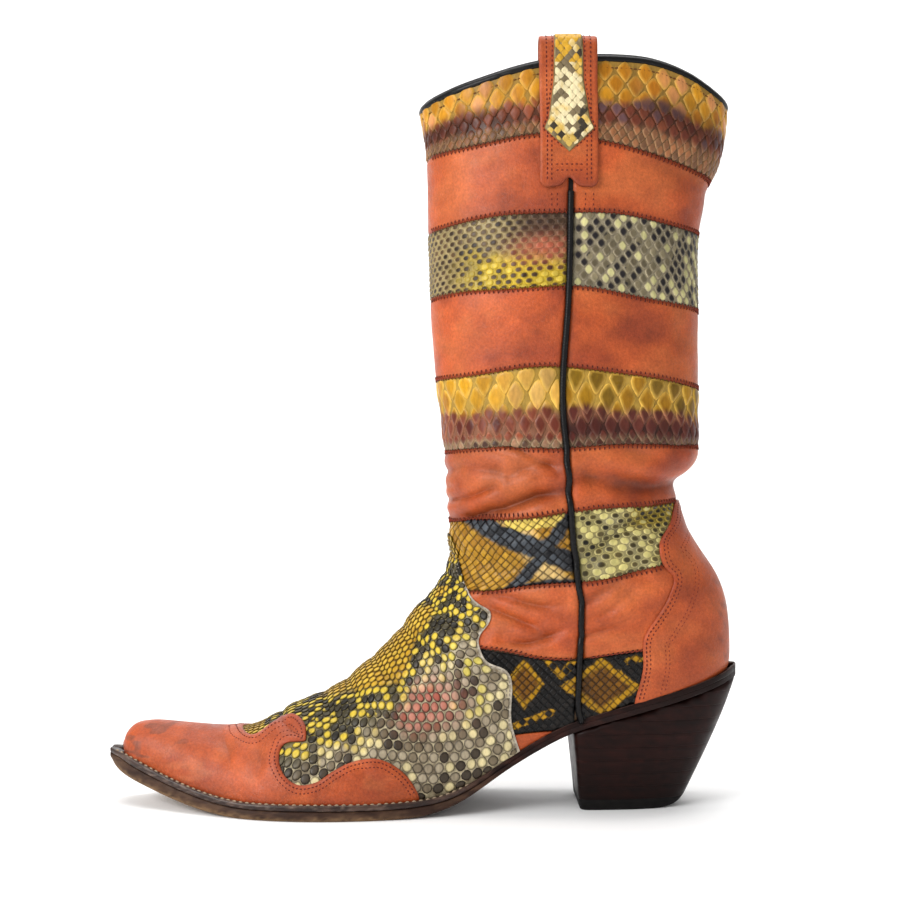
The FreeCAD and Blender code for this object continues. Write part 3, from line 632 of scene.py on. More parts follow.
def welt_line(x):
    """Height of the welt's top, measured on the frame."""
    return np.interp(x, WELT_X, WELT_Z)


def measure_top(names, xs, from_below=False):
    tree = tree_of(*names)
    heights = []
    for x in xs:
        values = []
        for y in (-44.0, -40.0, -34.0, -30.0, -26.0, -22.0, -18.0, -14.0, -8.0, -4.0, 0.0, 2.0, 4.0):
            start, end = ((x, y, -30.0), (x, y, 90.0)) if from_below else ((x, y, 90.0), (x, y, -30.0))
            found = hit(tree, start, end)
            if found is not None:
                values.append(found[2])
        heights.append(np.median(values) if values else np.nan)
    return filled(np.array(heights))


WELT_X = np.arange(-144.0, 145.0, 2.0)
WELT_Z = measure_top(("welt", "heel_rand"), WELT_X)


def line_of(number):
    """Height of a band line as a function of x: 0 is the rim and 10 the welt."""
    if number == 0:
        return lambda x: through(RIM, x)
    if number == 10:
        return lambda x: welt_line(x) - 0.6
    front, side, back = BAND_SEAMS[number - 1]
    points = [(-30, front - 3.0), (8, front), (66, side), (126, back), (165, back - 3.0)]
    if number == 9:
        return lambda x: np.maximum(through(points, x), welt_line(x) - 1.0)
    return lambda x: through(points, x) + 0.5 * np.sin(x / 9.0 + number * 2.1)


def seam_rows(number):
    """Row of a band line in every column of the skin."""
    line = line_of(number)
    above = PLAIN[..., 2] - line(PLAIN[..., 0])
    found = []
    for column in range(COLUMNS):
        run = above[:, column]
        first = int(np.argmax(run < 0.0)) if (run < 0.0).any() else len(run) - 1
        first = max(first, 1)
        share = np.clip(run[first - 1] / (run[first - 1] - run[first] + 1e-9), 0.0, 1.0)
        found.append(ROWS[first - 1] + share)
    return blurred(np.array(found), 1.0, wrap=True)


SEAM_ROWS = [seam_rows(number) for number in range(11)]


def seam_row(number, a):
    column = np.mod(np.asarray(a) / TAU * COLUMNS, COLUMNS)
    values = SEAM_ROWS[number]
    low = np.floor(column).astype(int) % COLUMNS
    part = column - np.floor(column)
    return values[low] * (1 - part) + values[(low + 1) % COLUMNS] * part


def side_angles():
    """Column angle of the side seam in every row."""
    half = COLUMNS // 2
    found = []
    for row in PLAIN[:, : half + 1]:
        gap = row[:, 0] - through([(z, x) for x, z in SIDE_SEAM], row[:, 2])
        past = np.nonzero((gap > 0) & (np.arange(half + 1) > 20))[0]
        if len(past) == 0:
            found.append(np.nan)
            continue
        index = past[0]
        share = -gap[index - 1] / (gap[index] - gap[index - 1] + 1e-9)
        found.append((index - 1 + share) / COLUMNS * TAU)
    found = np.array(found)
    found[ROWS > 82.0] = np.nan
    return blurred(filled(found), 2.0)


SIDE_ANGLE = side_angles()


def side_angle(s):
    return np.interp(s, ROWS, SIDE_ANGLE)


def side_scale():
    """Millimetres per radian across the side seam, against the seam's angle in the fan rows."""
    s = np.arange(22.0, 64.0, 1.0)
    a = side_angle(s)
    step = 0.02
    reach = np.linalg.norm(at_skin(s, a + step, BAND_MIDDLE) - at_skin(s, a - step, BAND_MIDDLE),
                           axis=1) / (2.0 * step)
    return np.append(0.0, a + np.arange(len(a)) * 1e-6), np.append(reach[0], reach)


SIDE_ANGLE_SORTED, SIDE_SCALE_SORTED = side_scale()


class Band:
    """Map from a band's own flat sheet, in mm, to the skin."""

    def __init__(self, upper, lower, back, gap=1.15):
        self.upper, self.lower, self.back = upper, lower, back
        self.gap = gap
        self.downs = np.linspace(0.0, 1.0, 61)
        self.edges = self.find_edges()
        shares = np.linspace(-1.0, 1.0, 301)
        s, a = self.place(shares, np.full(301, 0.5))
        run = run_along(at_skin(s, a, BAND_MIDDLE))
        self.run = run - np.interp(0.0, shares, run)
        self.shares = shares
        s_up, a_up = self.place(shares, np.zeros(301))
        s_low, a_low = self.place(shares, np.ones(301))
        heights = np.linalg.norm(at_skin(s_up, a_up, BAND_MIDDLE) - at_skin(s_low, a_low, BAND_MIDDLE),
                                 axis=1)
        self.height = float(np.mean(heights))
        self.start, self.end = self.run[0], self.run[-1]

    def row(self, a, down):
        return seam_row(self.upper, a) * (1 - down) + seam_row(self.lower, a) * down

    def find_edges(self):
        """Angle of the side seam at each level down the band, by halving."""
        low, high = np.full(61, math.radians(60.0)), np.full(61, math.radians(155.0))
        for _turn in range(24):
            half = (low + high) / 2.0
            short = half < side_angle(self.row(half, self.downs))
            low, high = np.where(short, half, low), np.where(short, high, half)
        return low

    def place(self, share, down):
        """Row and angle for a share -1 to 1 round the band and 0 to 1 down it."""
        share, down = np.asarray(share, float), np.asarray(down, float)
        a = self.angle(share, np.interp(down, self.downs, self.edges))
        return self.row(a, down), a

    def angle(self, share, edge):
        slack = self.gap / np.interp(edge, SIDE_ANGLE_SORTED, SIDE_SCALE_SORTED)
        if self.back:
            return math.pi + share * (math.pi - edge - slack)
        return share * (edge - slack)

    def on(self, u, v, lift):
        """Points for distances u round and v down the band, in mm."""
        share = np.interp(u, self.run, self.shares)
        s, a = self.place(share, np.clip(v / self.height, 0.0, 1.0))
        return at_skin(s, a, lift)


# ------------------------------------------------------------------ scales

OUTLINE_POWER = {"oval": 0.92, "lozenge": 1.35, "diamond": 1.7, "shield": 1.42}


def scale_outline(kind, corners):
    """Unit outline of one scale: width and height 2, point down."""
    turn = np.arange(corners) * TAU / corners
    x, y = np.cos(turn), np.sin(turn)
    power = OUTLINE_POWER[kind]
    x = np.sign(x) * np.abs(x) ** power
    y = np.sign(y) * np.abs(y) ** power
    if kind == "shield":
        x = x * (1.0 - 0.28 * np.clip(y, 0, 1))
        y = y * np.where(y > 0, 1.08, 0.9)
    return np.stack([x, y], -1)


RINGS = ((1.0, -0.55), (0.95, 0.35), (0.84, 0.8), (0.55, 1.0), (0.22, 1.04))


def add_scales(build, surface, centres, sizes, turns, kind, lift, dome, tint, inside, shingle=0.25,
               corners=14):
    """Domed scales on a surface. tint gives a colour for a place, a share of radius and a scale's number."""
    centres, sizes = np.asarray(centres, float), np.asarray(sizes, float)
    outline = scale_outline(kind, corners)
    numbers = np.arange(len(centres))
    good = inside(centres[:, 0], centres[:, 1])
    centres, sizes, turns, numbers = centres[good], sizes[good], np.asarray(turns, float)[good], numbers[good]
    if not len(centres):
        return
    wobble = 1.0 + 0.1 * (hashed(numbers[:, None], np.arange(corners)[None, :], 5.0) - 0.5)
    local = outline[None] * sizes[:, None, :] * wobble[..., None]
    cos, sin = np.cos(turns)[:, None], np.sin(turns)[:, None]
    edge = np.stack([local[..., 0] * cos - local[..., 1] * sin, local[..., 0] * sin + local[..., 1] * cos],
                    -1)
    low, high = np.zeros(edge.shape[:2]), np.ones(edge.shape[:2])
    full = inside(centres[:, None, 0] + edge[..., 0], centres[:, None, 1] + edge[..., 1])
    for _turn in range(7):
        half = (low + high) / 2.0
        kept = inside(centres[:, None, 0] + edge[..., 0] * half, centres[:, None, 1] + edge[..., 1] * half)
        low, high = np.where(kept, half, low), np.where(kept, high, half)
    edge = edge * np.where(full, 1.0, low)[..., None]
    points, colours = [], []
    for share, rise in RINGS:
        u = centres[:, None, 0] + edge[..., 0] * share
        v = centres[:, None, 1] + edge[..., 1] * share
        slope = shingle * dome * edge[..., 1] * share / (sizes[:, None, 1] + 1e-9)
        points.append(surface(u, v, lift + dome * rise + slope * (rise > 0)))
        colours.append(tint(u, v, share, numbers[:, None] + 0 * u))
    points, colours = np.stack(points, 1), np.stack(colours, 1)
    count, rows = points.shape[:2]
    build.add(points, colours.reshape(-1, 3), prism_faces(count, rows, corners, flip=True))


def lattice(u0, u1, v0, v1, pitch_u, pitch_v, seed, jitter=0.08):
    """Staggered rows of places."""
    places = []
    rows = int(math.ceil((v1 - v0) / pitch_v)) + 1
    columns = int(math.ceil((u1 - u0) / pitch_u)) + 2
    for row in range(rows):
        for column in range(columns):
            shift = 0.5 * (row % 2)
            places.append((u0 + (column - 0.5 + shift) * pitch_u, v0 + row * pitch_v))
    places = np.array(places)
    step = np.arange(len(places))
    places[:, 0] += (hashed(step, 1, seed) - 0.5) * 2 * jitter * pitch_u
    places[:, 1] += (hashed(step, 2, seed) - 0.5) * 2 * jitter * pitch_v
    return places


# ------------------------------------------------------------------ materials

DYE_DEPTH = 0.78
SHEEN, DARK_SHEEN = 0.26, 0.12


def new_material(name, **sockets):
    material = bpy.data.materials.new(name)
    material.use_nodes = True
    nodes = material.node_tree.nodes
    shader = nodes["Principled BSDF"]
    shader.inputs["Specular IOR Level"].default_value = SHEEN
    for socket, value in sockets.items():
        shader.inputs[socket.replace("_", " ")].default_value = value
    return material, nodes, material.node_tree.links, shader


def texture_noise(nodes, links, scale, detail=4.0, roughness=0.55, stretch=None):
    place = nodes.new("ShaderNodeTexCoord")
    source = place.outputs["Object"]
    if stretch:
        mapping = nodes.new("ShaderNodeMapping")
        mapping.inputs["Scale"].default_value = stretch
        links.new(source, mapping.inputs["Vector"])
        source = mapping.outputs["Vector"]
    node = nodes.new("ShaderNodeTexNoise")
    node.inputs["Scale"].default_value = scale
    node.inputs["Detail"].default_value = detail
    node.inputs["Roughness"].default_value = roughness
    links.new(source, node.inputs["Vector"])
    return node.outputs["Fac"]


def ranged(nodes, links, source, low, high, from_low=0.0, from_high=1.0):
    node = nodes.new("ShaderNodeMapRange")
    node.inputs["From Min"].default_value = from_low
    node.inputs["From Max"].default_value = from_high
    node.inputs["To Min"].default_value = low
    node.inputs["To Max"].default_value = high
    links.new(source, node.inputs["Value"])
    return node.outputs["Result"]


def tinted(nodes, links, shader, *factors):
    """Base colour from the mesh's Tint, darkened or lightened by grey factors."""
    tint = nodes.new("ShaderNodeVertexColor")
    tint.layer_name = "Tint"
    depth = nodes.new("ShaderNodeVectorMath")
    depth.operation = "SCALE"
    depth.inputs["Scale"].default_value = DYE_DEPTH
    links.new(tint.outputs["Color"], depth.inputs[0])
    colour = depth.outputs[0]
    for factor in factors:
        scale = nodes.new("ShaderNodeVectorMath")
        scale.operation = "SCALE"
        links.new(colour, scale.inputs[0])
        links.new(factor, scale.inputs["Scale"])
        colour = scale.outputs[0]
    links.new(colour, shader.inputs["Base Color"])


def bumped(nodes, links, shader, heights):
    """Bump from (height output, distance in mm) pairs."""
    normal = None
    for height, depth in heights:
        bump = nodes.new("ShaderNodeBump")
        bump.inputs["Strength"].default_value = 1.0
        bump.inputs["Distance"].default_value = depth * MM
        links.new(height, bump.inputs["Height"])
        if normal is not None:
            links.new(normal, bump.inputs["Normal"])
        normal = bump.outputs["Normal"]
    links.new(normal, shader.inputs["Normal"])


def pores(nodes, links, scale):
    place = nodes.new("ShaderNodeTexCoord")
    cells = nodes.new("ShaderNodeTexVoronoi")
    cells.feature = "DISTANCE_TO_EDGE"
    cells.inputs["Scale"].default_value = scale
    links.new(place.outputs["Object"], cells.inputs["Vector"])
    return ranged(nodes, links, cells.outputs["Distance"], 0.0, 1.0, 0.0, 0.16)


def mottled(nodes, links, low, high, *noise_values):
    """A noise whose middle part runs from low to high."""
    return ranged(nodes, links, texture_noise(nodes, links, *noise_values), low, high, 0.3, 0.7)


def leather_material(name, roughness=0.42):
    material, nodes, links, shader = new_material(name, Roughness=roughness, Coat_Weight=0.1,
                                                  Coat_Roughness=0.35)
    mottle = mottled(nodes, links, 0.8, 1.16, 95.0, 5.0)
    fine = mottled(nodes, links, 0.8, 1.14, 900.0, 3.0)
    tinted(nodes, links, shader, mottle, fine)
    rough = mottled(nodes, links, roughness - 0.1, roughness + 0.12, 160.0, 4.0)
    links.new(rough, shader.inputs["Roughness"])
    bumped(nodes, links, shader, [(pores(nodes, links, 1150.0), 0.05),
                                  (texture_noise(nodes, links, 420.0, 5.0), 0.24),
                                  (texture_noise(nodes, links, 120.0, 3.0), 0.4)])
    return material


def scale_material():
    material, nodes, links, shader = new_material("python_skin", Roughness=0.4, Coat_Weight=0.04,
                                                  Coat_Roughness=0.25)
    shader.inputs["Specular IOR Level"].default_value = 0.18
    streak = mottled(nodes, links, 0.78, 1.2, 700.0, 4.0, 0.6, (1.0, 1.0, 0.35))
    broad = mottled(nodes, links, 0.86, 1.12, 60.0, 3.0)
    tinted(nodes, links, shader, streak, broad)
    rough = mottled(nodes, links, 0.26, 0.5, 300.0, 4.0)
    links.new(rough, shader.inputs["Roughness"])
    bumped(nodes, links, shader, [(texture_noise(nodes, links, 1500.0, 3.0), 0.04),
                                  (texture_noise(nodes, links, 500.0), 0.07)])
    return material


def plain_material(name, roughness, bump=0.05, scale=500.0, coat=0.0, spread=0.12, stretch=None, sheen=SHEEN):
    material, nodes, links, shader = new_material(name, Roughness=roughness, Coat_Weight=coat,
                                                  Coat_Roughness=0.2)
    shader.inputs["Specular IOR Level"].default_value = sheen
    mottle = mottled(nodes, links, 1 - spread, 1 + spread, scale * 0.3, 5.0, 0.6, stretch)
    tinted(nodes, links, shader, mottle)
    rough = mottled(nodes, links, roughness - 0.08, roughness + 0.1, scale * 0.5)
    links.new(rough, shader.inputs["Roughness"])
    bumped(nodes, links, shader, [(texture_noise(nodes, links, scale, 5.0, 0.6, stretch), bump)])
    return material


PYTHON = scale_material()
LEATHER = leather_material("terracotta_leather")
BLACK = plain_material("black_leather", 0.34, 0.05, 900.0, 0.04, sheen=0.16)
LINING = plain_material("lining_leather", 0.62, 0.08, 600.0)
THREAD = plain_material("waxed_thread", 0.55, 0.06, 2600.0)
WELT = plain_material("welt_leather", 0.4, 0.1, 520.0, 0.08, 0.3)
RAND = plain_material("heel_rand_leather", 0.45, 0.06, 420.0, 0.0, 0.3, sheen=DARK_SHEEN)
HEEL = plain_material("stacked_heel_leather", 0.42, 0.03, 380.0, 0.0, 0.34, (0.35, 0.35, 4.0),
                      sheen=DARK_SHEEN)
RUBBER = plain_material("heel_rubber", 0.6, 0.1, 600.0, sheen=DARK_SHEEN)
INSOLE = plain_material("insole_leather", 0.6, 0.1, 500.0)

TERRACOTTA = linear(192, 86, 38)
TERRACOTTA_DARK = linear(140, 52, 28)
BLACK_TONE = linear(16, 15, 16)
THREAD_RED = linear(98, 28, 20)


# ------------------------------------------------------------------ shaft bands

def leather_tint(u, v, seed):
    """Terracotta with dye clouds and darker, rubbed places."""
    tone = clouds(u / 24.0 + seed, v / 16.0, seed)
    colour = mix(TERRACOTTA, TERRACOTTA_DARK, 0.7 * smooth_step(0.45, 0.85, tone))
    return mix(colour, linear(216, 118, 62), 0.45 * smooth_step(0.55, 0.2, tone))


def crease_shade(s, a):
    """Painted shade that darkens the folds, and a painted highlight that lightens their crests a little."""
    depth = sample(FOLD_MM, s, a)
    shallow, deep = smooth_step(0.1, 0.8, -depth), smooth_step(0.6, 2.8, -depth)
    return 1.0 - 0.15 * shallow - 0.34 * deep + 0.07 * smooth_step(0.2, 1.0, depth)


def band_sheet(build, band, tint, top, span=(-1.0, 1.0), step=0.9, edge_drop=0.45):
    """The band's own closed sheet, with its edges pressed down into the seams."""
    width = (band.end - band.start) * (span[1] - span[0]) / 2.0
    columns, rows = max(8, int(width / step)), max(6, int(band.height / step))
    share = np.linspace(span[0], span[1], columns + 1)
    down = np.linspace(0.0, 1.0, rows + 1)
    share, down = np.meshgrid(share, down)
    s, a = band.place(share, down)
    u = np.interp(share, band.shares, band.run)
    v = down * band.height
    edge = np.minimum(v, band.height - v)
    side = (1.0 - np.abs(share)) * (band.end - band.start) / 2.0
    drop = edge_drop * (np.exp(-edge / 0.7) + np.exp(-side / 0.7))
    # Painted shade: the colour darkens in the folds and along the sheet's edges, where they dip into the
    # seams.
    colour = tint(u, v) * (crease_shade(s, a) * (1.0 - 0.35 * np.exp(-edge / 0.8)))[..., None]
    build.slab(at_skin(s, a, top - drop), at_skin(s, a, 0.15), colour, linear(120, 80, 60))


def collar_look(band, back):
    """Golden scales over wine-coloured and then tan ones."""
    def look(u, v, pick, shade):
        share = v / band.height
        wander = clouds(u / 15.0, v / 9.0, 21.0) - 0.5
        gap = band.end - np.abs(u)
        gold = mix(linear(206, 144, 30), linear(170, 104, 16), shade) * (1.0 + 0.16 * back)
        gold = mix(gold, linear(222, 150, 90), (pick > 0.66) * smooth_step(20.0, 50.0, gap))
        wine = mix(linear(104, 46, 34), linear(148, 78, 50), shade)
        wine = mix(wine, linear(108, 76, 78), back * (pick > 0.5))
        tan = mix(linear(152, 98, 62), linear(104, 74, 52), shade) * (1.0 + 0.3 * back)
        centre = mix(gold, wine, smooth_step(0.4, 0.52, share + 0.3 * wander))
        centre = mix(centre, tan, smooth_step(0.72, 0.84, share + 0.2 * wander))
        edge = mix(linear(222, 172, 76), linear(132, 78, 54), smooth_step(0.42, 0.56, share + 0.3 * wander))
        edge = mix(edge, linear(172, 132, 94), smooth_step(0.72, 0.84, share + 0.2 * wander))
        # Painted shade: a dark run under the fold at the front, and down the heel side at the back.
        low = share - 0.62 - (0.12 * smooth_step(60.0, 10.0, gap) if not back else -0.1)
        dark = np.exp(-((low / 0.16) ** 2)) * smooth_step(12.0, 40.0, gap) * (0.75 - 0.2 * back)
        dark = dark * smooth_step(0.3, 0.6, clouds(u / 9.0, v / 7.0, 23.0) + 0.2)
        return mix(centre, linear(52, 20, 12), dark), mix(edge, linear(70, 36, 24), dark)
    return look


def net_look(band, back):
    """Small dark ovals in a pale net, paler and greyer at the back."""
    def look(u, v, pick, shade):
        tone = clouds(u / 9.0, v / 7.0, 41.0)
        gap = band.end - np.abs(u)
        if back:
            edge = mix(linear(156, 144, 120), linear(182, 170, 140), tone)
            centre = mix(linear(96, 86, 66), linear(146, 134, 104), shade)
            dark_run = smooth_step(0.5, 0.62, noise(u / 9.0 + v / 14.0, v / 16.0, 43.0))
            centre = mix(centre, linear(36, 32, 34), 1.0 * (pick < 0.2 + 0.5 * dark_run))
            centre = mix(centre, linear(210, 202, 142), 1.0 * (pick > 0.66))
            return centre, edge
        yellow = smooth_step(0.35, 0.75, v / band.height + 0.5 * (tone - 0.5)) * smooth_step(62.0, 34.0, gap)
        edge = mix(linear(186, 166, 118), linear(228, 196, 62), yellow)
        centre = mix(linear(42, 30, 22), linear(92, 70, 44), shade)
        centre = mix(centre, linear(216, 188, 72), yellow * (pick > 0.66))
        brown = smooth_step(0.62, 0.2, v / band.height) * smooth_step(30.0, 14.0, gap)
        edge = mix(edge, linear(112, 88, 70), brown)
        centre = mix(centre, linear(46, 30, 28), 0.6 * brown)
        rosy = np.exp(-(((gap - 10.0) / 13.0) ** 2) - ((v - 15.0) / 5.5) ** 2)
        centre = mix(centre, linear(188, 96, 70), 0.9 * rosy)
        return centre, mix(edge, linear(202, 122, 92), rosy)
    return look


def belly_look(band, back):
    """Long golden scales over wine-coloured ones that end in pale, dark-pitted ones."""
    def look(u, v, pick, shade):
        share = v / band.height
        wander = clouds(u / 12.0, v / 9.0, 51.0) - 0.5
        gold = mix(linear(210, 154, 28), linear(176, 118, 14), shade)
        light = smooth_step(34.0, 12.0, band.end - np.abs(u)) * (1.0 - back)
        gold = mix(gold, linear(220, 176, 100), light * (0.4 + 0.5 * pick))
        gold = mix(gold, linear(112, 86, 18), back * (0.35 + 0.5 * (pick > 0.5)))
        wine = mix(linear(92, 36, 26), linear(150, 76, 50), shade * (1.0 - 0.6 * back))
        wine = mix(wine, linear(74, 34, 30), back * 0.6)
        low = mix(linear(54, 36, 28), linear(160, 126, 96), shade)
        centre = mix(gold, wine, smooth_step(0.44, 0.54, share + 0.24 * wander))
        centre = mix(centre, low, 0.85 * smooth_step(0.84, 0.92, share + 0.1 * wander) * (1.0 - 0.6 * back))
        edge = mix(linear(236, 190, 84), linear(178, 118, 88), smooth_step(0.46, 0.6, share + 0.24 * wander))
        edge = mix(edge, linear(92, 50, 42), back * smooth_step(0.55, 0.75, share))
        edge = mix(edge, linear(190, 162, 126), smooth_step(0.82, 0.92, share) * (1.0 - 0.5 * back))
        return centre, edge
    return look


def streak_share(w, v, start, slope, half, wave):
    """How far inside a slanting dark streak a place lies, from its distance to the side seam."""
    gap = np.abs(v - (start[1] + (start[0] - w) * slope)) / math.hypot(1.0, slope)
    return smooth_step(half + 0.9, half - 0.5, gap + wave)


def cross_look(band, back):
    """Front: golden bricks crossed by slate streaks. Back: dark ovals in a cream net."""
    def look(u, v, pick, shade):
        if back:
            tone = clouds(u / 8.0, v / 6.0, 67.0)
            edge = mix(linear(222, 206, 120), linear(214, 202, 156), tone)
            gap = band.end - np.abs(u)
            edge = mix(edge, linear(206, 178, 70),
                       smooth_step(18.0, 34.0, gap) * smooth_step(0.5, 0.3, v / band.height))
            centre = mix(linear(30, 26, 18), linear(92, 80, 46), shade)
            return mix(centre, linear(206, 194, 122), 1.0 * (pick > 0.72)), edge
        w = band.end - np.abs(u)
        wave = 1.2 * (noise(u / 2.2, v / 2.2, 61.0) - 0.5)
        streak = np.maximum(streak_share(w, v, (40.0, 2.5), 0.52, 4.2, wave),
                            streak_share(w, v, (0.0, 3.0), -1.15, 3.0, wave))
        streak = np.maximum(streak,
                            smooth_step(3.4, 1.6, band.height - v + wave) * smooth_step(30.0, 22.0, w))
        pale = smooth_step(9.0, 2.0, np.abs(w - 27.0 + 0.6 * v)) * 0.7
        gold = mix(linear(196, 148, 44), linear(160, 112, 26), shade)
        gold = mix(gold, linear(232, 200, 136), pale)
        top = (v < 6.0) * (w < 30.0)
        gold = mix(gold, linear(230, 200, 96), 1.0 * top)
        ink = mix(linear(30, 30, 33), linear(84, 90, 97), shade * smooth_step(2.0, 12.0, w + 2.0))
        return mix(gold, ink, streak), mix(gold * 0.62, linear(26, 26, 30), streak)
    return look


# Golden lozenges of the lowest python band: centre, half width and half height in the side view.
LOZENGES = [((46, 58.5), 8.6, 11.0), ((80, 57.5), 18.0, 12.5), ((16, 58), 10.0, 11.0),
            ((116, 60), 12.0, 12.0)]
FLECK_LINES = [((55.6, 69.5), (62.5, 62.0)), ((62.5, 62.0), (68.0, 69.5)), ((41.0, 39.5), (58.0, 46.0)),
               ((92.0, 69.0), (104.0, 72.0))]


def dark_look(x, z, pick, shade):
    """Black with golden lozenges."""
    wave = 0.1 * (noise(x / 2.4, z / 2.4, 73.0) - 0.5)
    ring, rimmed = np.zeros(np.shape(x)), np.zeros(np.shape(x))
    for (cx, cz), wide, tall in LOZENGES:
        reach = np.abs(x - cx) / wide + np.abs(z - cz) / tall + wave
        ring = np.maximum(ring, smooth_step(1.04, 0.98, reach))
        rimmed = np.maximum(rimmed, smooth_step(0.66, 0.8, reach) * (reach < 1.04))
    for line in FLECK_LINES:
        gap, _along = path_distance(x, z, line)
        ring = np.maximum(ring, (gap < 1.5) * (pick > 0.3))
        rimmed = np.maximum(rimmed, (gap < 1.5) * 1.0)
    gold = mix(linear(124, 80, 10), linear(92, 56, 6), shade)
    gold = mix(gold, linear(186, 138, 18), 0.85 * rimmed)
    ink = mix(linear(10, 8, 7), linear(30, 25, 22), shade)
    return mix(ink, gold, ring), mix(linear(6, 5, 5), gold * 0.4, ring)


def scale_tint(look, spread=0.3, start=0.74):
    """Scale colours: middle and edge colours of the place, varied scale by scale."""
    def tint(u, v, share, number):
        centre, edge = look(u, v, hashed(number, 1.0, 7.0), hashed(number, 2.0, 8.0))
        colour = mix(centre, edge, smooth_step(start, 0.95, np.full(np.shape(u), share)))
        return colour * (1.0 - spread / 2.0 + spread * hashed(number, 3.0, 1.0))[..., None]
    return tint


# Scale patterns by band: look, rows (from, to, pitch round, pitch down), outline, dome height and net shade.
PATTERNS = {
    1: (collar_look, [(0.165, 0.45, 9.0, 5.6), (0.5, 0.74, 6.2, 3.9), (0.8, 1.0, 4.4, 2.7)], "shield", 0.6,
        0.5),
    3: (net_look, [(0.04, 1.0, 4.6, 2.45)], "oval", 0.5, 0.8),
    5: (belly_look, [(0.1, 0.36, 9.4, 7.6), (0.53, 0.76, 6.6, 5.6), (0.86, 1.0, 4.6, 3.2)], "shield", 0.6,
        0.55),
    7: (cross_look, [(0.03, 1.0, 4.5, 2.1)], "diamond", 0.32, 0.45),
}
BACK_PATTERNS = {
    3: ([(0.04, 1.0, 5.0, 3.1)], "lozenge"),
    7: ([(0.04, 1.0, 4.8, 2.5)], "oval"),
}


def band_inside(band, margin=0.35):
    def inside(u, v):
        return (u > band.start + margin) & (u < band.end - margin) & (v > margin) & (v < band.height - margin)
    return inside


def tile_sizes(kind, pitch_u, pitch_v, count):
    """Half sizes at which staggered outlines just touch."""
    touch = 0.5 * 2.0 ** (OUTLINE_POWER[kind] / 2.0) * (1.09 if kind == "shield" else 0.97)
    wide, tall = (1.2, 0.84) if kind == "oval" else (1.0, 1.0)
    sizes = np.tile([wide * touch * pitch_u / 2.0, tall * touch * pitch_v], (count, 1))
    return sizes * (0.97 + 0.06 * hashed(np.arange(count), 4.0, 2.0))[:, None]


def add_band_scales(build, band, rows, kind, look, dome, lift):
    for seed, (low, high, pitch_u, pitch_v) in enumerate(rows):
        top, bottom = low * band.height, high * band.height
        places = lattice(band.start, band.end, top, bottom, pitch_u, pitch_v, seed + 1.0, 0.04)
        places = places[places[:, 1] < bottom + 0.2 * pitch_v]
        sizes = tile_sizes(kind, pitch_u, pitch_v, len(places))
        turns = 0.1 * (hashed(np.arange(len(places)), 6.0, 3.0) - 0.5)
        order = places[:, 1] * 1e-4
        add_scales(build, band.on, places, sizes, turns, kind, lift + order[0], dome, scale_tint(look),
                   band_inside(band), 0.45, 12)


def python_band(number, back, name, nodes, span=None):
    band = Band(number - 1, number, back)
    make_look, rows, kind, dome, net = PATTERNS[number]
    if back and number in BACK_PATTERNS:
        rows, kind = BACK_PATTERNS[number]
    look = make_look(band, 1.0 if back else 0.0)

    def sheet_tint(u, v):
        half = np.full(np.shape(u), 0.5)
        return look(u, v, half, half)[1] * net

    for part, side_name in zip([span, (-span[1], -span[0])] if span else [(-1.0, 1.0)], ("_left", "_right")
                               if span else ("",)):
        build = Build()
        band_sheet(build, band, sheet_tint, 1.2, part)
        low, high = (np.interp(share, band.shares, band.run) for share in part)
        part_band = Band.__new__(Band)
        part_band.__dict__.update(band.__dict__, start=low, end=high)
        add_band_scales(build, part_band, rows, kind, look, dome, 1.2)
        build.piece(name + side_name, "python_skin", PYTHON,
                    *(node for node in nodes if node.endswith(side_name)))


# Painted light and shade: bands drawn lighter or darker than the rest, by number and whether the band is at
# the back. The darker front of band 6 is painted shade at the ankle.
LEATHER_LIGHT_AND_SHADE = {(6, False): 0.88, (4, False): 1.1, (2, True): 1.06, (8, False): 1.04}


def leather_band(number, back, name, nodes, span=None):
    band = Band(number - 1, number, back, 0.6 if number == 8 else 1.15)
    spans = [span, (-span[1], -span[0])] if span else [(-1.0, 1.0)]
    for part, side_name in zip(spans, ("_left", "_right") if span else ("",)):
        build = Build()
        # Painted light and shade: the band's leather is made lighter or darker by its factor in the table
        # above.
        depth = LEATHER_LIGHT_AND_SHADE.get((number, back), 1.0)
        band_sheet(build, band, lambda u, v: leather_tint(u, v, number + 10.0 * back) * depth, 1.55, part,
                   0.8, 0.6)
        build.piece(name + side_name, "terracotta_leather", LEATHER,
                    *(node for node in nodes if node.endswith(side_name)))


def band_span(band, node, back):
    """Shares of the band's near or far part that the frame's own piece covers."""
    low, high = box_mm(node)[0][0], box_mm(node)[1][0]
    shares = np.linspace(0.0, 1.0, 201)
    s, a = band.place(shares, np.full(201, 0.5))
    x = at_skin(s, a, BAND_MIDDLE)[:, 0]
    first = shares[np.argmax(x < high + 3.0)] if back else shares[np.argmax(x > low - 4.0)]
    return (-1.0, -float(first))


def make_bands():
    for back in (False, True):
        for number in range(1, 9):
            python = number % 2 == 1
            half = "back" if back else "front"
            label = "%s_band_%d_%s" % (half, number, "python" if python else "leather")
            nodes = [node for node in NODES if node == label or node.startswith(label + "_")]
            span = band_span(Band(number - 1, number, back), nodes[0], back) if len(nodes) > 1 else None
            if span and not back:
                span = (-span[1], -span[0])
            make = python_band if python else leather_band
            make(number, back, half + "_band_%d_skin" % number, nodes, span)


make_bands()


# ------------------------------------------------------------------ vamp, toe cap and counter

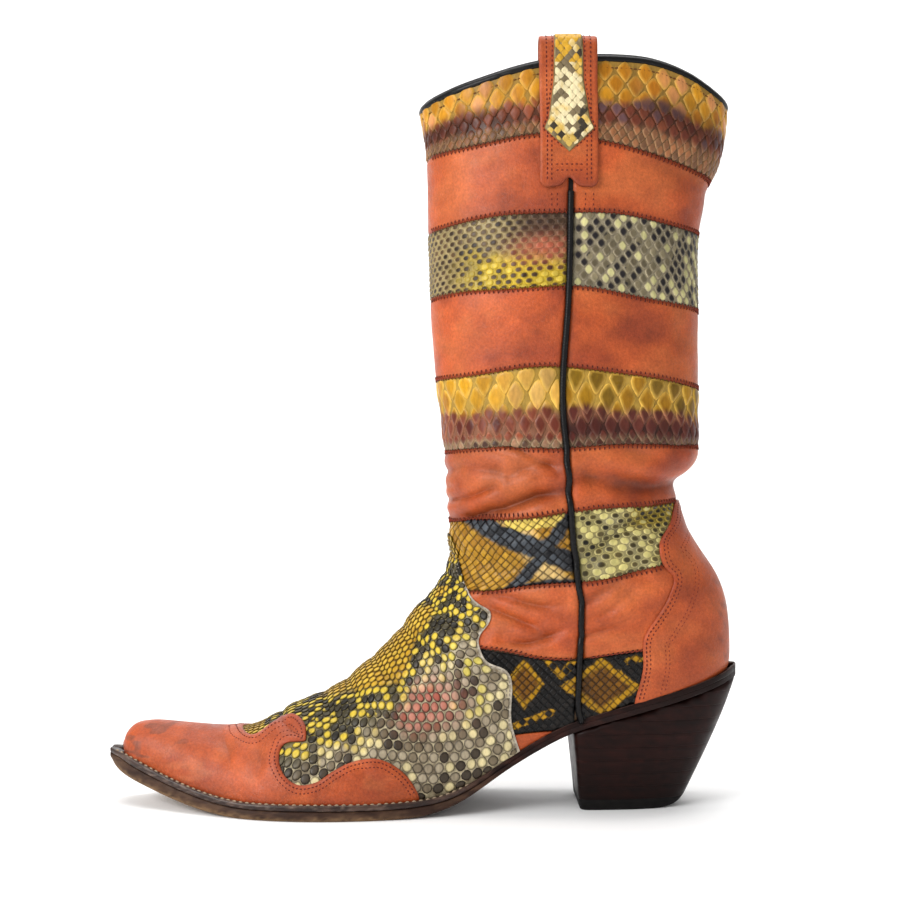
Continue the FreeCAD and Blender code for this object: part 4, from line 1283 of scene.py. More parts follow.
VAMP_EDGE = [(6, 134), (15.6, 120), (19.4, 106), (22.4, 97), (31.6, 87.6), (25.8, 76.4), (29, 68.4), (38, 64),
             (40.2, 41), (45, 24), (50, 4)]
COUNTER_EDGE = [(114, 139), (110.4, 129), (105.2, 120), (107.6, 110), (111.4, 106), (109.6, 98),
                (103.6, 87.5),
                (98.8, 80), (98.4, 66), (93, 44), (90, 20)]
TOE_CAP_EDGE = [(6, -10), (0, 2), (-2.6, 12), (-8.6, 20), (-17.4, 25), (-28, 25), (-38, 20.5), (-46.7, 15.4),
                (-54, 14.6), (-60, 18.4), (-62.4, 24), (-60.6, 29.4), (-50.4, 31.6), (-51, 36.6),
                (-57.6, 40.4),
                (-64.4, 37.4), (-76.6, 30.6), (-90.4, 36), (-98, 52)]


class Outline:
    """A closed region of the side view, with its depth measured from the drawn edge only."""

    X0, Z0, STEP, WIDE, TALL = -160.0, -20.0, 0.5, 640, 400

    def __init__(self, edge, corners):
        edge = np.asarray(edge, float)
        run = run_across(edge)
        fine = np.linspace(0.0, run[-1], int(run[-1] / 0.8))
        self.line = np.stack([through(list(zip(run, edge[:, k])), fine) for k in (0, 1)], -1)
        loop = np.concatenate([self.line, np.asarray(corners, float)])
        x = self.X0 + self.STEP * np.arange(self.WIDE)
        z = self.Z0 + self.STEP * np.arange(self.TALL)
        gx, gz = np.meshgrid(x, z)
        inside = np.zeros(gx.shape, bool)
        for (x0, z0), (x1, z1) in zip(loop, np.roll(loop, -1, 0)):
            if z0 != z1:
                crosses = (z0 > gz) != (z1 > gz)
                inside ^= crosses & (gx < (x1 - x0) * (gz - z0) / (z1 - z0) + x0)
        gap = np.full(gx.shape, 1e9)
        for (x0, z0), (x1, z1) in zip(self.line, self.line[1:]):
            dx, dz = x1 - x0, z1 - z0
            share = np.clip(((gx - x0) * dx + (gz - z0) * dz) / (dx * dx + dz * dz + 1e-12), 0.0, 1.0)
            gap = np.minimum(gap, np.hypot(gx - x0 - share * dx, gz - z0 - share * dz))
        self.field = np.where(inside, gap, -gap)

    def depth(self, x, z):
        """Distance inside the region, negative outside it."""
        column = np.clip((x - self.X0) / self.STEP, 0, self.WIDE - 1.001)
        row = np.clip((z - self.Z0) / self.STEP, 0, self.TALL - 1.001)
        return bilinear(self.field, row, column)

    def inset(self, distance):
        """The edge moved into the region, as side-view points."""
        ahead = np.gradient(self.line, axis=0)
        ahead /= np.linalg.norm(ahead, axis=1)[:, None]
        across = np.stack([-ahead[:, 1], ahead[:, 0]], -1)
        probe = self.line + across * 1.0
        sign = np.where(self.depth(probe[:, 0], probe[:, 1]) > 0, 1.0, -1.0)
        moved = self.line + across * np.median(sign) * distance
        true = self.depth(moved[:, 0], moved[:, 1])
        return moved[true > distance - 0.35]


VAMP_SHAPE = Outline(VAMP_EDGE, [(50, -60), (-200, -60), (-200, 200), (6, 200)])
COUNTER_SHAPE = Outline(COUNTER_EDGE, [(90, -60), (220, -60), (220, 139.01)])
TOE_CAP_SHAPE = Outline(TOE_CAP_EDGE, [(-98, 120), (-220, 120), (-220, -60), (6, -60)])


def above_welt(x, z, tuck=1.0):
    return z - (welt_line(x) - tuck)


def clip_cells(inside):
    """Cells of a wrapped grid cut where the field crosses zero: places, faces and edge segments."""
    rows, columns = inside.shape
    places, known, faces, rims = [], {}, [], []
    ids = np.arange(rows * columns).reshape(rows, columns)

    def crossing(one, other):
        key = (min(one, other), max(one, other))
        if key not in known:
            f0, f1 = inside.flat[one], inside.flat[other]
            share = f0 / (f0 - f1)
            (r0, c0), (r1, c1) = divmod(one, columns), divmod(other, columns)
            if c1 - c0 > columns // 2:
                c0 += columns
            if c0 - c1 > columns // 2:
                c1 += columns
            known[key] = rows * columns + len(places)
            places.append((r0 + share * (r1 - r0), c0 + share * (c1 - c0)))
        return known[key]

    right = np.roll(ids, -1, 1)
    cells = np.stack([ids[:-1], right[:-1], right[1:], ids[1:]], -1).reshape(-1, 4)
    good = inside.ravel()[cells] > 0.0
    faces.append(cells[good.all(1)])
    sorted_faces = {}
    for cell, flags in zip(cells[good.any(1) & ~good.all(1)], good[good.any(1) & ~good.all(1)]):
        corners, cuts = [], []
        for k in range(4):
            here, there = int(cell[k]), int(cell[(k + 1) % 4])
            if flags[k]:
                corners.append(here)
            if flags[k] != flags[(k + 1) % 4]:
                cut = crossing(here, there)
                corners.append(cut)
                cuts.append((cut, flags[k]))
        sorted_faces.setdefault(len(corners), []).append(corners)
        leaving = [cut for cut, out in cuts if out]
        entering = [cut for cut, out in cuts if not out]
        rims += list(zip(leaving, entering)) if len(leaving) == 1 else []
    faces += [np.array(part) for part in sorted_faces.values()]
    return np.array(places).reshape(-1, 2), faces, rims


def clipped_sheet(build, rows, spacing, shape, keep, top, bottom, tint, pillow=(0.6, 0.7), under=None):
    """A closed sheet over the part of the skin where keep is positive.

    The sheet's edge is rolled down by pillow[0] mm over pillow[1] mm from the outline.
    """
    columns = int(TAU * 36.0 / spacing)
    s_values = np.arange(rows[0], rows[1] + spacing / 2, spacing)
    s, a = np.meshgrid(s_values, np.arange(columns) * TAU / columns, indexing="ij")
    plain = at_skin(s, a, 0.0)
    field = keep(plain[..., 0], plain[..., 2], s, a)
    field[0] = np.minimum(field[0], -1e-6)
    places, faces, rims = clip_cells(field)
    if len(places):
        s_all = np.concatenate([s.ravel(), s_values[0] + places[:, 0] * spacing])
        a_all = np.concatenate([a.ravel(), places[:, 1] * TAU / columns])
    else:
        s_all, a_all = s.ravel(), a.ravel()
    used = np.zeros(len(s_all), bool)
    for part in faces:
        used[part.ravel()] = True
    last = np.arange(columns) + (len(s_values) - 1) * columns
    closing = used[last].all()
    renumber = np.cumsum(used) - 1
    s_all, a_all = s_all[used], a_all[used]
    base = at_skin(s_all, a_all, 0.0)
    depth = np.maximum(shape.depth(base[:, 0], base[:, 2]), 0.0) if shape else np.full(len(base), 50.0)
    drop = pillow[0] * np.exp(-depth / pillow[1])
    outer = at_skin(s_all, a_all, (top(base) if callable(top) else top) - drop)
    inner = at_skin(s_all, a_all, np.full(len(s_all), bottom))
    colour = tint(base[:, 0], base[:, 2], depth, s_all, a_all)
    shaded = colour * crease_shade(s_all, a_all)[:, None]
    size = len(base)
    parts = [renumber[part] for part in faces if len(part)]
    everything = parts + [part[:, ::-1] + size for part in parts]
    if rims:
        rims = renumber[np.array(rims)]
        everything.append(np.stack([rims[:, 1], rims[:, 0], rims[:, 0] + size, rims[:, 1] + size], -1))
    if closing:
        ring = renumber[last]
        everything += [ring[::-1][None, :], (ring + size)[None, :]]
    lower = shaded if under is None else np.broadcast_to(under, shaded.shape)
    build.add(np.concatenate([outer, inner]), np.concatenate([shaded, lower]), everything)


def upper_leather(x, z, depth, s, a):
    """Leather of the toe cap and counter: a painted highlight in patches low on the front, darker near its
    edge.
    """
    colour = leather_tint(x, z, 7.0)
    colour = mix(colour, linear(146, 50, 30), 0.5 * np.exp(-depth / 0.9))
    scuff = smooth_step(0.66, 0.82, noise(x / 4.0 + 1.3 * np.sin(a), z / 1.6, 91.0))
    scuff = scuff * smooth_step(-98.0, -116.0, x)
    colour = mix(colour, linear(96, 62, 50), 0.5 * scuff)
    # Painted highlight: lighter patches low on the front of the foot.
    worn = smooth_step(0.5, 0.75, clouds(x / 10.0, z / 5.0, 95.0))
    worn = worn * smooth_step(20.0, -30.0, x) * smooth_step(34.0, 16.0, z)
    colour = mix(colour, linear(222, 134, 84), 0.22 * worn)
    grazed = smooth_step(0.7, 0.8, noise(x / 4.0 + z / 6.0, z / 1.6, 93.0)) * smooth_step(118.0, 136.0, x)
    return mix(colour, linear(112, 52, 36), 0.5 * grazed)


# Gold patches along the vamp's ridge: centre, half length and half width, in side-view mm.
VAMP_SLOPE = np.array([0.78, 0.62])
GOLD_PATCHES = [((-19, 71), 33.0, 15.0), ((14, 118), 14.0, 6.0), ((-80, 36), 11.0, 8.0), ((9, 98), 5.0, 2.2)]
ROSY_PLACES = [((4, 50), 12.0, 9.5), ((-3, 43), 6.0, 5.0)]


def vamp_zones(x, z):
    """Shares of gold and dark colouring at side-view points."""
    wander = clouds(x / 9.0, z / 9.0, 101.0) - 0.5
    gold = np.zeros(np.shape(x))
    for (cx, cz), long_half, short_half in GOLD_PATCHES:
        along = (x - cx) * VAMP_SLOPE[0] + (z - cz) * VAMP_SLOPE[1]
        across = (x - cx) * VAMP_SLOPE[1] - (z - cz) * VAMP_SLOPE[0]
        reach = np.abs(along) / long_half + np.maximum(np.abs(across) / short_half, 0.0)
        gold = np.maximum(gold, smooth_step(1.12, 0.9, reach + 0.35 * wander))
    below = (x - 4.8) * VAMP_SLOPE[1] - (z - 91.0) * VAMP_SLOPE[0]
    dark = smooth_step(27.0, 15.0, below + 16.0 * wander + 6.0 * smooth_step(-30, -60, x))
    return gold, dark


def vamp_net(x, z, depth, s, a):
    """Colour of the skin between the scales."""
    gold, dark = vamp_zones(x, z)
    grain = noise(x / 1.6, z / 1.6, 103.0)
    colour = mix(linear(196, 182, 148), linear(112, 96, 76), 0.85 * smooth_step(0.3, 0.7, grain))
    colour = mix(colour, linear(104, 94, 52), dark * (0.6 + 0.4 * grain))
    colour = mix(colour, linear(112, 78, 22), gold)
    return mix(colour, linear(214, 204, 186), smooth_step(1.3, 0.5, depth))


def vamp_tint(x, z, share, number):
    """Colour of a vamp scale from its place, how far out from its middle and its number."""
    gold, dark = vamp_zones(x, z)
    pick, shade = hashed(number, 1.0, 7.0), hashed(number, 2.0, 8.0)
    cluster = noise(x / 8.0, z / 8.0, 105.0)
    centre = mix(linear(112, 98, 76), linear(178, 164, 138), shade)
    centre = mix(centre, linear(222, 206, 156), 1.0 * (pick > 0.62))
    centre = mix(centre, linear(70, 60, 48), 1.0 * (pick < 0.16))
    yellow = smooth_step(4.0, 14.0, x) * smooth_step(34.0, 54.0, z) * smooth_step(34.0, 24.0, x)
    centre = mix(centre, linear(214, 196, 92), yellow * (pick > 0.66))
    for (cx, cz), wide, tall in ROSY_PLACES:
        rosy = np.exp(-(((x - cx) / wide) ** 2) - ((z - cz) / tall) ** 2)
        centre = mix(centre, mix(linear(178, 84, 66), linear(218, 150, 128), shade),
                     np.clip(1.25 * rosy, 0, 0.95))
    night = mix(linear(30, 27, 21), linear(88, 80, 56), shade)
    night = mix(night, linear(222, 192, 62), 1.0 * (pick + 0.5 * (cluster - 0.5) > 0.54))
    centre = mix(centre, night, dark)
    metal = mix(linear(196, 150, 34), linear(220, 180, 60), shade)
    centre = mix(centre, metal, gold)
    rim = mix(centre * 0.2, linear(40, 32, 24), 0.5 * (1.0 - gold))
    return mix(centre, rim, smooth_step(0.7, 0.92, np.full(np.shape(x), share)))


U_STEP, U_REACH = 0.5, 130.0


def ridge_table():
    """Angle for each row and distance round from the ridge."""
    outside = SKIN + NORMAL * 2.6
    half = COLUMNS // 2
    wanted = np.arange(0.0, U_REACH, U_STEP)
    table = []
    for side in (1, -1):
        order = (side * np.arange(half + 1)) % COLUMNS
        steps = np.linalg.norm(np.diff(outside[:, order], axis=1), axis=2)
        run = np.concatenate([np.zeros((len(ROWS), 1)), np.cumsum(steps, 1)], 1)
        angles = np.arange(half + 1) * TAU / COLUMNS
        table.append(np.array([np.interp(wanted, line, angles) for line in run]))
    return table


RIDGE_TABLE = ridge_table()


def from_ridge(s, u):
    """Angle at a distance u round from the ridge in row s (positive on the near side)."""
    column = np.clip(np.abs(u) / U_STEP, 0, RIDGE_TABLE[0].shape[1] - 1.001)
    row = np.clip(s - ROWS[0], 0, len(ROWS) - 1.001)
    near, far = (bilinear(table, row, column) for table in RIDGE_TABLE)
    return np.where(u >= 0, near, -far)


def vamp_places():
    """Staggered places of the vamp's scales in row and distance from the ridge, widening down the sides."""
    spots, sizes = [], []
    pitch_s = 2.7
    steps = [0.0]
    while steps[-1] < U_REACH - 8:
        steps.append(steps[-1] + 2.9 + 2.2 * smooth_step(12.0, 44.0, steps[-1]))
    steps = np.array(steps)
    for number, s in enumerate(np.arange(24.0, 216.0, pitch_s)):
        line = steps if number % 2 == 0 else (steps[:-1] + steps[1:]) / 2.0
        wide = np.interp(line, steps[:-1], np.diff(steps))
        spots += [(s, side * u) for side in (1, -1) for u in line]
        sizes += [(pitch_s * (0.62 - 0.05 * (w > 4.0)), w * (0.5 - 0.02 * (w > 4.0))) for _side in (1, -1)
                  for w in wide]
    return np.array(spots), np.array(sizes)


def vamp_lift(points):
    """Height of the vamp's face over the lining, thinner towards its top."""
    return 2.45 - 0.75 * smooth_step(100.0, 121.0, points[..., 2])


def make_vamp():
    keep = lambda x, z, s, a: np.minimum(VAMP_SHAPE.depth(x, z), above_welt(x, z))
    build = Build()
    clipped_sheet(build, (-16.0, NOSE_END), 1.15, VAMP_SHAPE, keep, vamp_lift, 1.5, vamp_net, (0.15, 0.5),
                  linear(150, 130, 100))
    build.piece("vamp_sheet", "python_skin", PYTHON, "vamp")
    spots, sizes = vamp_places()
    step = np.arange(len(spots))
    spots = spots + 0.22 * (hashed(step, 1.0, 3.0)[:, None] - 0.5) * np.array([1.0, 1.2])
    turns = 0.2 * (hashed(step, 5.0, 3.0) - 0.5)

    def side_view(s, u):
        a = from_ridge(s, u)
        place = sample(SKIN, s, a) + 2.5 * sample(NORMAL, s, a)
        return place[..., 0], place[..., 2], a

    def on_vamp(s, u, lift):
        a = from_ridge(s, u)
        return at_skin(s, a, lift + vamp_lift(sample(SKIN, s, a)))

    def tint(s, u, share, number):
        x, z, a = side_view(s, u)
        return vamp_tint(x, z, share, number) * crease_shade(s, a)[..., None]

    for side, name in ((1, "left"), (-1, "right")):
        def inside(s, u):
            x, z, a = side_view(s, u)
            room = np.minimum(VAMP_SHAPE.depth(x, z) - 1.0, above_welt(x, z, 0.0) - 0.2)
            room = np.minimum(room, 1.6 - TOE_CAP_SHAPE.depth(x, z))
            return (room > 0) & (np.abs(a) < 2.75) & (side * u > -3.0) & (s < 216.0)

        chosen = side * spots[:, 1] > (-1e-6 if side > 0 else 1e-6)
        build = Build()
        add_scales(build, on_vamp, spots[chosen], sizes[chosen], turns[chosen], "oval", 0.0, 0.46, tint,
                   inside, 0.5, 10)
        build.piece("vamp_scales_" + name, "python_skin", PYTHON, "vamp")


def close_nose(build, lift):
    """A low button of the same leather where the rows of the toe meet at the tip."""
    s, a = np.array([NOSE_POLE + 1.0]), np.zeros(1)
    tip = at_skin(s, a, lift)
    colour = (upper_leather(tip[:, 0], tip[:, 2], np.full(1, 50.0), s, a) * crease_shade(s, a)[:, None])[0]
    turns = np.arange(24) * TAU / 24
    rings = [
        tip + np.stack([np.full(24, -out), reach * np.cos(turns), 0.8 * reach * np.sin(turns)], -1)
        for out, reach in ((-1.0, 0.5), (-0.25, 2.1), (0.0, 1.9), (0.07, 1.3), (0.1, 0.6), (0.11, 0.15))
    ]
    build.grid(np.array(rings), colour, wrap=True, ends=True)


# Heights of the outer faces of the toe cap and the counter cover above the lining.
TOE_CAP_TOP, COUNTER_TOP = 4.0, 2.8


def make_caps():
    """The toe cap, closed at its nose, and the counter cover."""
    for node, shape, rows, spacing, top, bottom in (
        ("toe_cap", TOE_CAP_SHAPE, (100.0, NOSE_END), 0.8, TOE_CAP_TOP, 2.7),
        ("counter_cover", COUNTER_SHAPE, (-20.0, 143.0), 0.95, COUNTER_TOP, 1.6),
    ):
        keep = lambda x, z, s, a: np.minimum(shape.depth(x, z), above_welt(x, z, 0.6))
        build = Build()
        clipped_sheet(build, rows, spacing, shape, keep, top, bottom, upper_leather, (0.7, 0.6))
        if node == "toe_cap":
            close_nose(build, top)
        build.piece(node + "_skin", "terracotta_leather", LEATHER, node)


def plain_tint(colour):
    def tint(x, _z, _depth, _s, _a):
        return np.broadcast_to(np.asarray(colour, float), np.shape(x) + (3,)) * 1.0
    return tint


def make_inner_layers():
    """Stiffeners, vamp backing and linings, which follow the same folds as the outer leather."""
    board = linear(196, 176, 140)
    outline = VAMP_SHAPE
    for name, shape, rows, keep, tone in (
        ("toe_puff", None, (180.0, NOSE_END),
         lambda x, z, s, a: np.minimum(-100.0 - x, above_welt(x, z, 0.4)), board),
        ("vamp_backing", outline, (-10.0, 190.0),
         lambda x, z, s, a: np.minimum.reduce([x + 99.4, outline.depth(x, z) - 8.6, above_welt(x, z, 0.4)]),
         linear(202, 190, 160)),
        ("counter_stiffener", COUNTER_SHAPE, (-10.0, 140.0),
         lambda x, z, s, a: np.minimum(COUNTER_SHAPE.depth(x, z) - 8.6, above_welt(x, z, 0.4)), board),
    ):
        build = Build()
        clipped_sheet(build, rows, 1.6, shape, keep, 1.3, 0.2, plain_tint(tone), (0.0, 1.0))
        build.piece(name + "_layer", "stiffener_board", INSOLE, name)
    for name, nodes, rows, keep, tone in (
        ("shaft_lining_sheet", ("shaft_lining_front", "shaft_lining_back"), (-190.0, 30.0),
         lambda x, z, s, a: np.minimum.reduce([s - seam_row(0, a) + 1.2, above_welt(x, z, 0.0), 29.0 - s]),
         linear(30, 26, 25)),
        ("vamp_lining_sheet", ("vamp_lining",), (28.0, NOSE_END),
         lambda x, z, s, a: np.minimum(s - 29.3, above_welt(x, z, 0.0)), linear(120, 96, 74)),
    ):
        build = Build()
        clipped_sheet(build, rows, 1.5, None, keep, -0.15, -1.1, plain_tint(tone), (0.0, 1.0))
        build.piece(name, "lining_leather", LINING, *nodes)


def side_x(z):
    return through([(level, x) for x, level in SIDE_SEAM], z)


def on_side(x, z, lift, near):
    """Points over the side-view place (x, z), at a height above the lining."""
    shape = np.shape(x)
    x, z = np.ravel(x), np.ravel(z)
    s = row_of(x, z)
    a = angle_at(s, x, z, near)
    return at_skin(s, a, np.ravel(np.broadcast_to(lift, shape))).reshape(shape + (3,))


def make_dark_bands():
    """The lowest python bands, laid out in the side view because the rows fan out there."""
    upper, lower = line_of(8), line_of(9)
    for back, half in HALVES:
        for near, name in SIDES:
            node = "%s_band_9_python_%s" % (half, name)
            low, high = box_mm(node)[0][0], box_mm(node)[1][0]

            def room(x, z):
                seam = (x - side_x(z)) - 1.0 if back else (side_x(z) - x) - 1.0
                return np.minimum.reduce([upper(x) - 0.5 - z, z - lower(x) - 0.3, x - low + 1.0, high + 1.0
                                          - x, seam])

            def keep(x, z, s, a):
                return np.minimum(room(x, z), 2.0 - 4.0 * ((np.sin(a) > 0) != near))

            def net(x, z, depth, s, a):
                middle = np.full(np.shape(x), 0.5)
                # Painted shade: the net between the scales is drawn darker than the scales' edge colour.
                return dark_look(x, z, middle, middle)[1] * 0.8

            build = Build()
            clipped_sheet(build, (10.0, 110.0), 0.9, None, keep, 1.2, 0.15, net, (0.0, 1.0))
            spots = lattice(low - 2.0, high + 2.0, 34.0, 76.0, 3.9, 1.9, 3.0, 0.04)
            sizes = tile_sizes("diamond", 3.9, 1.9, len(spots))
            surface = lambda x, z, lift: on_side(x, z, lift, near)
            inside = lambda x, z: (room(x, z) > 0.3) & (z > welt_line(x) + 0.3)
            add_scales(build, surface, spots, sizes, np.full(len(spots), 0.08), "diamond", 1.2, 0.26,
                       scale_tint(dark_look), inside, -0.3, 12)
            build.piece("%s_band_9_skin_%s" % (half, name), "python_skin", PYTHON, node)


def make_low_band():
    """The last leather band, a sliver between the python and the sole."""
    line = line_of(9)
    for side, name in ((-1.0, "left"), (1.0, "right")):
        def keep(x, z, s, a):
            room = np.minimum.reduce([line(x) - 0.3 - z, above_welt(x, z, 0.8), x - 32.5, 60.5 - x])
            return np.minimum(room, 2.0 - 4.0 * ((np.sin(a) > 0) == (side > 0)))
        build = Build()
        clipped_sheet(build, (20.0, 120.0), 0.9, None, keep, 1.5, 0.15, upper_leather, (0.0, 1.0))
        build.piece("front_band_10_skin_" + name, "terracotta_leather", LEATHER, "front_band_10_leather_"
                    + name)


make_vamp()
make_caps()
make_dark_bands()
make_low_band()
make_inner_layers()


# ------------------------------------------------------------------ sole

WAIST_X = 20.0


def sole_stations():
    """Edge of the sole along x: bottom, joint and top heights and the near and far edges."""
    inner = np.arange(-142.0, 143.0, 1.5)
    x = np.concatenate([[-144.85, -144.5, -143.8, -143.0], inner, [143.4, 144.2, 144.7, 144.9]])
    bottom = measure_top(("outsole",), x, True)
    joint = measure_top(("welt", "heel_rand"), x, True)
    top = measure_top(("welt", "heel_rand"), x)
    bottom, joint, top = (blurred(part, 1.2) for part in (bottom, joint, top))
    tree = tree_of("outsole", "welt", "heel_rand")
    edges = []
    for sign in (-1.0, 1.0):
        found = []
        for place, low, high in zip(x, joint, top):
            reach = [hit(tree, (place, sign * 90.0, low + share * (high - low)),
                         (place, 0.0, low + share * (high - low)))
                     for share in (-0.6, 0.3, 0.6)]
            values = [sign * item[1] for item in reach if item is not None]
            found.append(max(values) if values else np.nan)
        edges.append(blurred(filled(np.array(found)), 0.8) * sign)
    for edge in edges:
        edge -= np.sign(edge) * 0.9 * smooth_step(52.0, 76.0, x)
    worn = np.clip((-131.0 - x) / 14.0, 0.0, 1.0) ** 2
    top = top - 3.4 * worn
    bottom = bottom + 2.4 * np.clip((-138.5 - x) / 6.5, 0.0, 1.0) ** 2
    joint = np.minimum(joint, top - 2.4)
    joint = np.maximum(joint, bottom + 2.2)
    return x, bottom, joint, top, edges[0], edges[1]


SOLE = sole_stations()


def sole_tint(part):
    def tint(points, share):
        x, y, z = points[..., 0], points[..., 1], points[..., 2]
        smudge = clouds(x / 7.0, z / 2.2 + y / 11.0, 111.0)
        fine = noise(x / 1.1, z / 0.8, 113.0)
        waist = smooth_step(14.0, 46.0, x)
        if part == "welt":
            colour = mix(linear(46, 30, 25), linear(92, 70, 60), smooth_step(0.4, 0.75, smudge) * 0.8)
            colour = mix(colour, linear(128, 108, 96),
                         0.5 * smooth_step(0.6, 0.85, fine) * smooth_step(10, -30, x))
        else:
            colour = mix(linear(58, 38, 29), linear(88, 64, 48), smooth_step(0.35, 0.7, smudge))
            bare = smooth_step(0.46, 0.05, share + 0.5 * (fine - 0.5)) * smooth_step(4.0, -24.0, x)
            colour = mix(colour, linear(150, 118, 84), 0.6 * bare)
        dark = mix(linear(28, 11, 8), linear(54, 25, 18),
                   smooth_step(0.4, 0.8, smudge) * smooth_step(130.0, 40.0, x))
        # Painted highlight: in patches, a lighter line along the top edge of the welt and heel rand at the
        # waist and heel.
        if part == "welt":
            dark = mix(dark, linear(84, 60, 52),
                       0.7 * smooth_step(0.86, 1.0, share) * smooth_step(0.3, 0.6, fine))
        return mix(colour, dark, waist)
    return tint


def edge_profile(rounding, bulge, steps=(0.0, 0.06, 0.16, 0.32, 0.5, 0.68, 0.84, 0.94, 1.0)):
    """Inset and height share of a bulging, round-cornered edge from bottom to top."""
    shares = np.array(steps)
    near_ends = np.exp(-shares / 0.07) + np.exp(-(1.0 - shares) / 0.07)
    inset = rounding * near_ends + bulge * (2 * shares - 1.0) ** 2
    return inset, shares


def sole_slab(build, x, low, high, near, far, tint, rounding=0.5, bulge=0.25):
    """A full-width layer of the sole."""
    inset, shares = edge_profile(rounding, bulge)
    rings = []
    for k in range(len(x)):
        squeeze = min(1.0,
                      (far[k] - near[k]) / (2.2 * inset.max())) * (1.0 - 0.75 * smooth_step(24.0, 60.0, x[k]))
        heights = low[k] + shares * (high[k] - low[k])
        left = np.stack([np.full(len(shares), x[k]), near[k] + inset * squeeze, heights], -1)
        right = np.stack([np.full(len(shares), x[k]), far[k] - inset * squeeze, heights], -1)
        rings.append(np.concatenate([left, right[::-1]]))
    rings = np.array(rings)
    share = np.concatenate([shares, shares[::-1]])[None, :] + 0.0 * rings[..., 0]
    build.grid(rings, tint(rings, share).reshape(-1, 3), wrap=True, ends=True)


def sole_strip(build, x, low, high, edge, middle, sign, depth, tint, rounding=0.45, bulge=0.3):
    """A strip of the sole along one side, its inner wall set in from the edge."""
    inset, shares = edge_profile(rounding, bulge)
    rings = []
    for k in range(len(x)):
        reach = abs(edge[k] - middle[k])
        heights = low[k] + shares * (high[k] - low[k])
        outer = edge[k] - sign * np.minimum(inset * (1.0 - 0.75 * smooth_step(24.0, 60.0, x[k])), 0.8 * reach)
        wall = edge[k] - sign * min(depth, 0.97 * reach)
        left = np.stack([np.full(len(shares), x[k]), outer, heights], -1)
        rings.append(np.concatenate([left, [[x[k], wall, high[k] - 0.2], [x[k], wall, low[k] + 0.2]]]))
    rings = np.array(rings)
    share = np.concatenate([shares, [1.0, 0.0]])[None, :] + 0.0 * rings[..., 0]
    build.grid(rings, tint(rings, share).reshape(-1, 3), flip=sign > 0, wrap=True, ends=True)


def make_sole():
    x, bottom, joint, top, near, far = SOLE
    middle = (near + far) / 2.0
    build = Build()
    sole_slab(build, x, bottom, joint - 0.12 * smooth_step(50.0, 20.0, x), near + 0.15, far - 0.15,
              sole_tint("sole"))
    build.piece("outsole_worn", "sole_leather", SOLE_LOOK, "outsole")
    front = x <= WAIST_X
    for name, chosen, material, slot in (("welt", front, WELT, "welt_leather"),
                                         ("heel_rand", ~front, RAND, "sole_leather")):
        build = Build()
        if name == "heel_rand":
            chosen = chosen | np.roll(chosen, -1)
        for edge, sign in ((near, -1.0), (far, 1.0)):
            sole_strip(build, x[chosen], (joint + 0.12 * smooth_step(50.0, 20.0, x))[chosen], top[chosen],
                       edge[chosen], middle[chosen], sign,
                       7.5 if name == "welt" else 5.0, sole_tint("welt"))
        build.piece(name + "_strip", slot, material, name)


def heel_ring(tree, z, centre, columns=144):
    turns = np.arange(columns) * TAU / columns
    reach = []
    for turn in turns:
        out = np.array([math.cos(turn), math.sin(turn), 0.0])
        middle = np.array([centre, 0.0, z])
        found = hit(tree, middle + out * 90.0, middle)
        reach.append(np.nan if found is None else np.linalg.norm(found - middle))
    turns3 = np.concatenate([reach] * 3)
    reach = blurred(filled(turns3)[columns : 2 * columns], 1.3, wrap=True)
    return turns, reach


def make_heel():
    lifts = sorted(node for node in NODES if node.startswith("heel_lift_"))
    whole = tree_of(*lifts, "heel_cap")
    for node in lifts + ["heel_cap"]:
        low, high = box_mm(node)[0][2], box_mm(node)[1][2]
        box = box_mm(node)
        build = Build()
        rings, tones = [], []
        stops = (0.0, 0.03, 0.3, 0.7, 0.97, 1.0)
        for share in stops:
            z = low + 0.005 + share * (high - low - 0.01)
            near_top = np.clip(z, low + 0.06, high - 0.12)
            centre = {True: 97.0, False: 0.42 * box[0][0] + 0.58 * box[1][0]}[high < 42.0]
            turns, reach = heel_ring(whole, near_top, centre)
            tuck = 0.02 if share in (0.0, 1.0) else 0.0
            if node == "heel_cap":
                tuck = {0.0: 0.9, 0.03: 0.5, 1.0: 0.1}.get(share, 0.0)
            reach = reach - tuck
            ring = np.stack([centre + reach * np.cos(turns), reach * np.sin(turns), np.full(len(turns), z)],
                            -1)
            if node == "heel_cap":
                worn = smooth_step(106.0, 121.0, ring[:, 0]) * (1.0 - share)
                ring[:, 2] += 1.9 * worn
            rings.append(ring)
            streak = noise(ring[:, 0] / 3.0 + ring[:, 1] / 3.0, np.full(len(turns), z / 0.7), 121.0)
            height_shade = 0.55 + 0.45 * smooth_step(6.0, 26.0, z)
            tone = mix(linear(22, 6, 4), linear(44, 15, 9), 0.75 * streak) * height_shade
            if node == "heel_cap":
                tone = mix(linear(12, 10, 10), linear(24, 21, 20), streak)
            tones.append(tone)
        build.grid(np.array(rings), np.array(tones).reshape(-1, 3), flip=True, wrap=True, ends=True)
        material, slot = (RUBBER, "heel_rubber") if node == "heel_cap" else (HEEL, "stacked_heel_leather")
        build.piece(node + "_block", slot, material, node)


SOLE_LOOK = plain_material("outsole_leather", 0.6, 0.14, 420.0, 0.0, 0.28, (1.0, 1.0, 3.0), sheen=0.17)
make_sole()
make_heel()


# ------------------------------------------------------------------ piping, binding and pull straps

def side_path(low, high, near, lift, step=1.0):
    """Points, outward directions and rows along a side seam between two heights."""
    s = np.arange(ROWS[0], 66.0, step)
    a = side_angle(s) * (1.0 if near else -1.0)
    points = at_skin(s, a, lift)
    keep = (points[:, 2] < high) & (points[:, 2] > np.maximum(low, welt_line(points[:, 0]) - 1.5))
    ups = sample(NORMAL, s, a)
    return points[keep], ups[keep], s[keep]


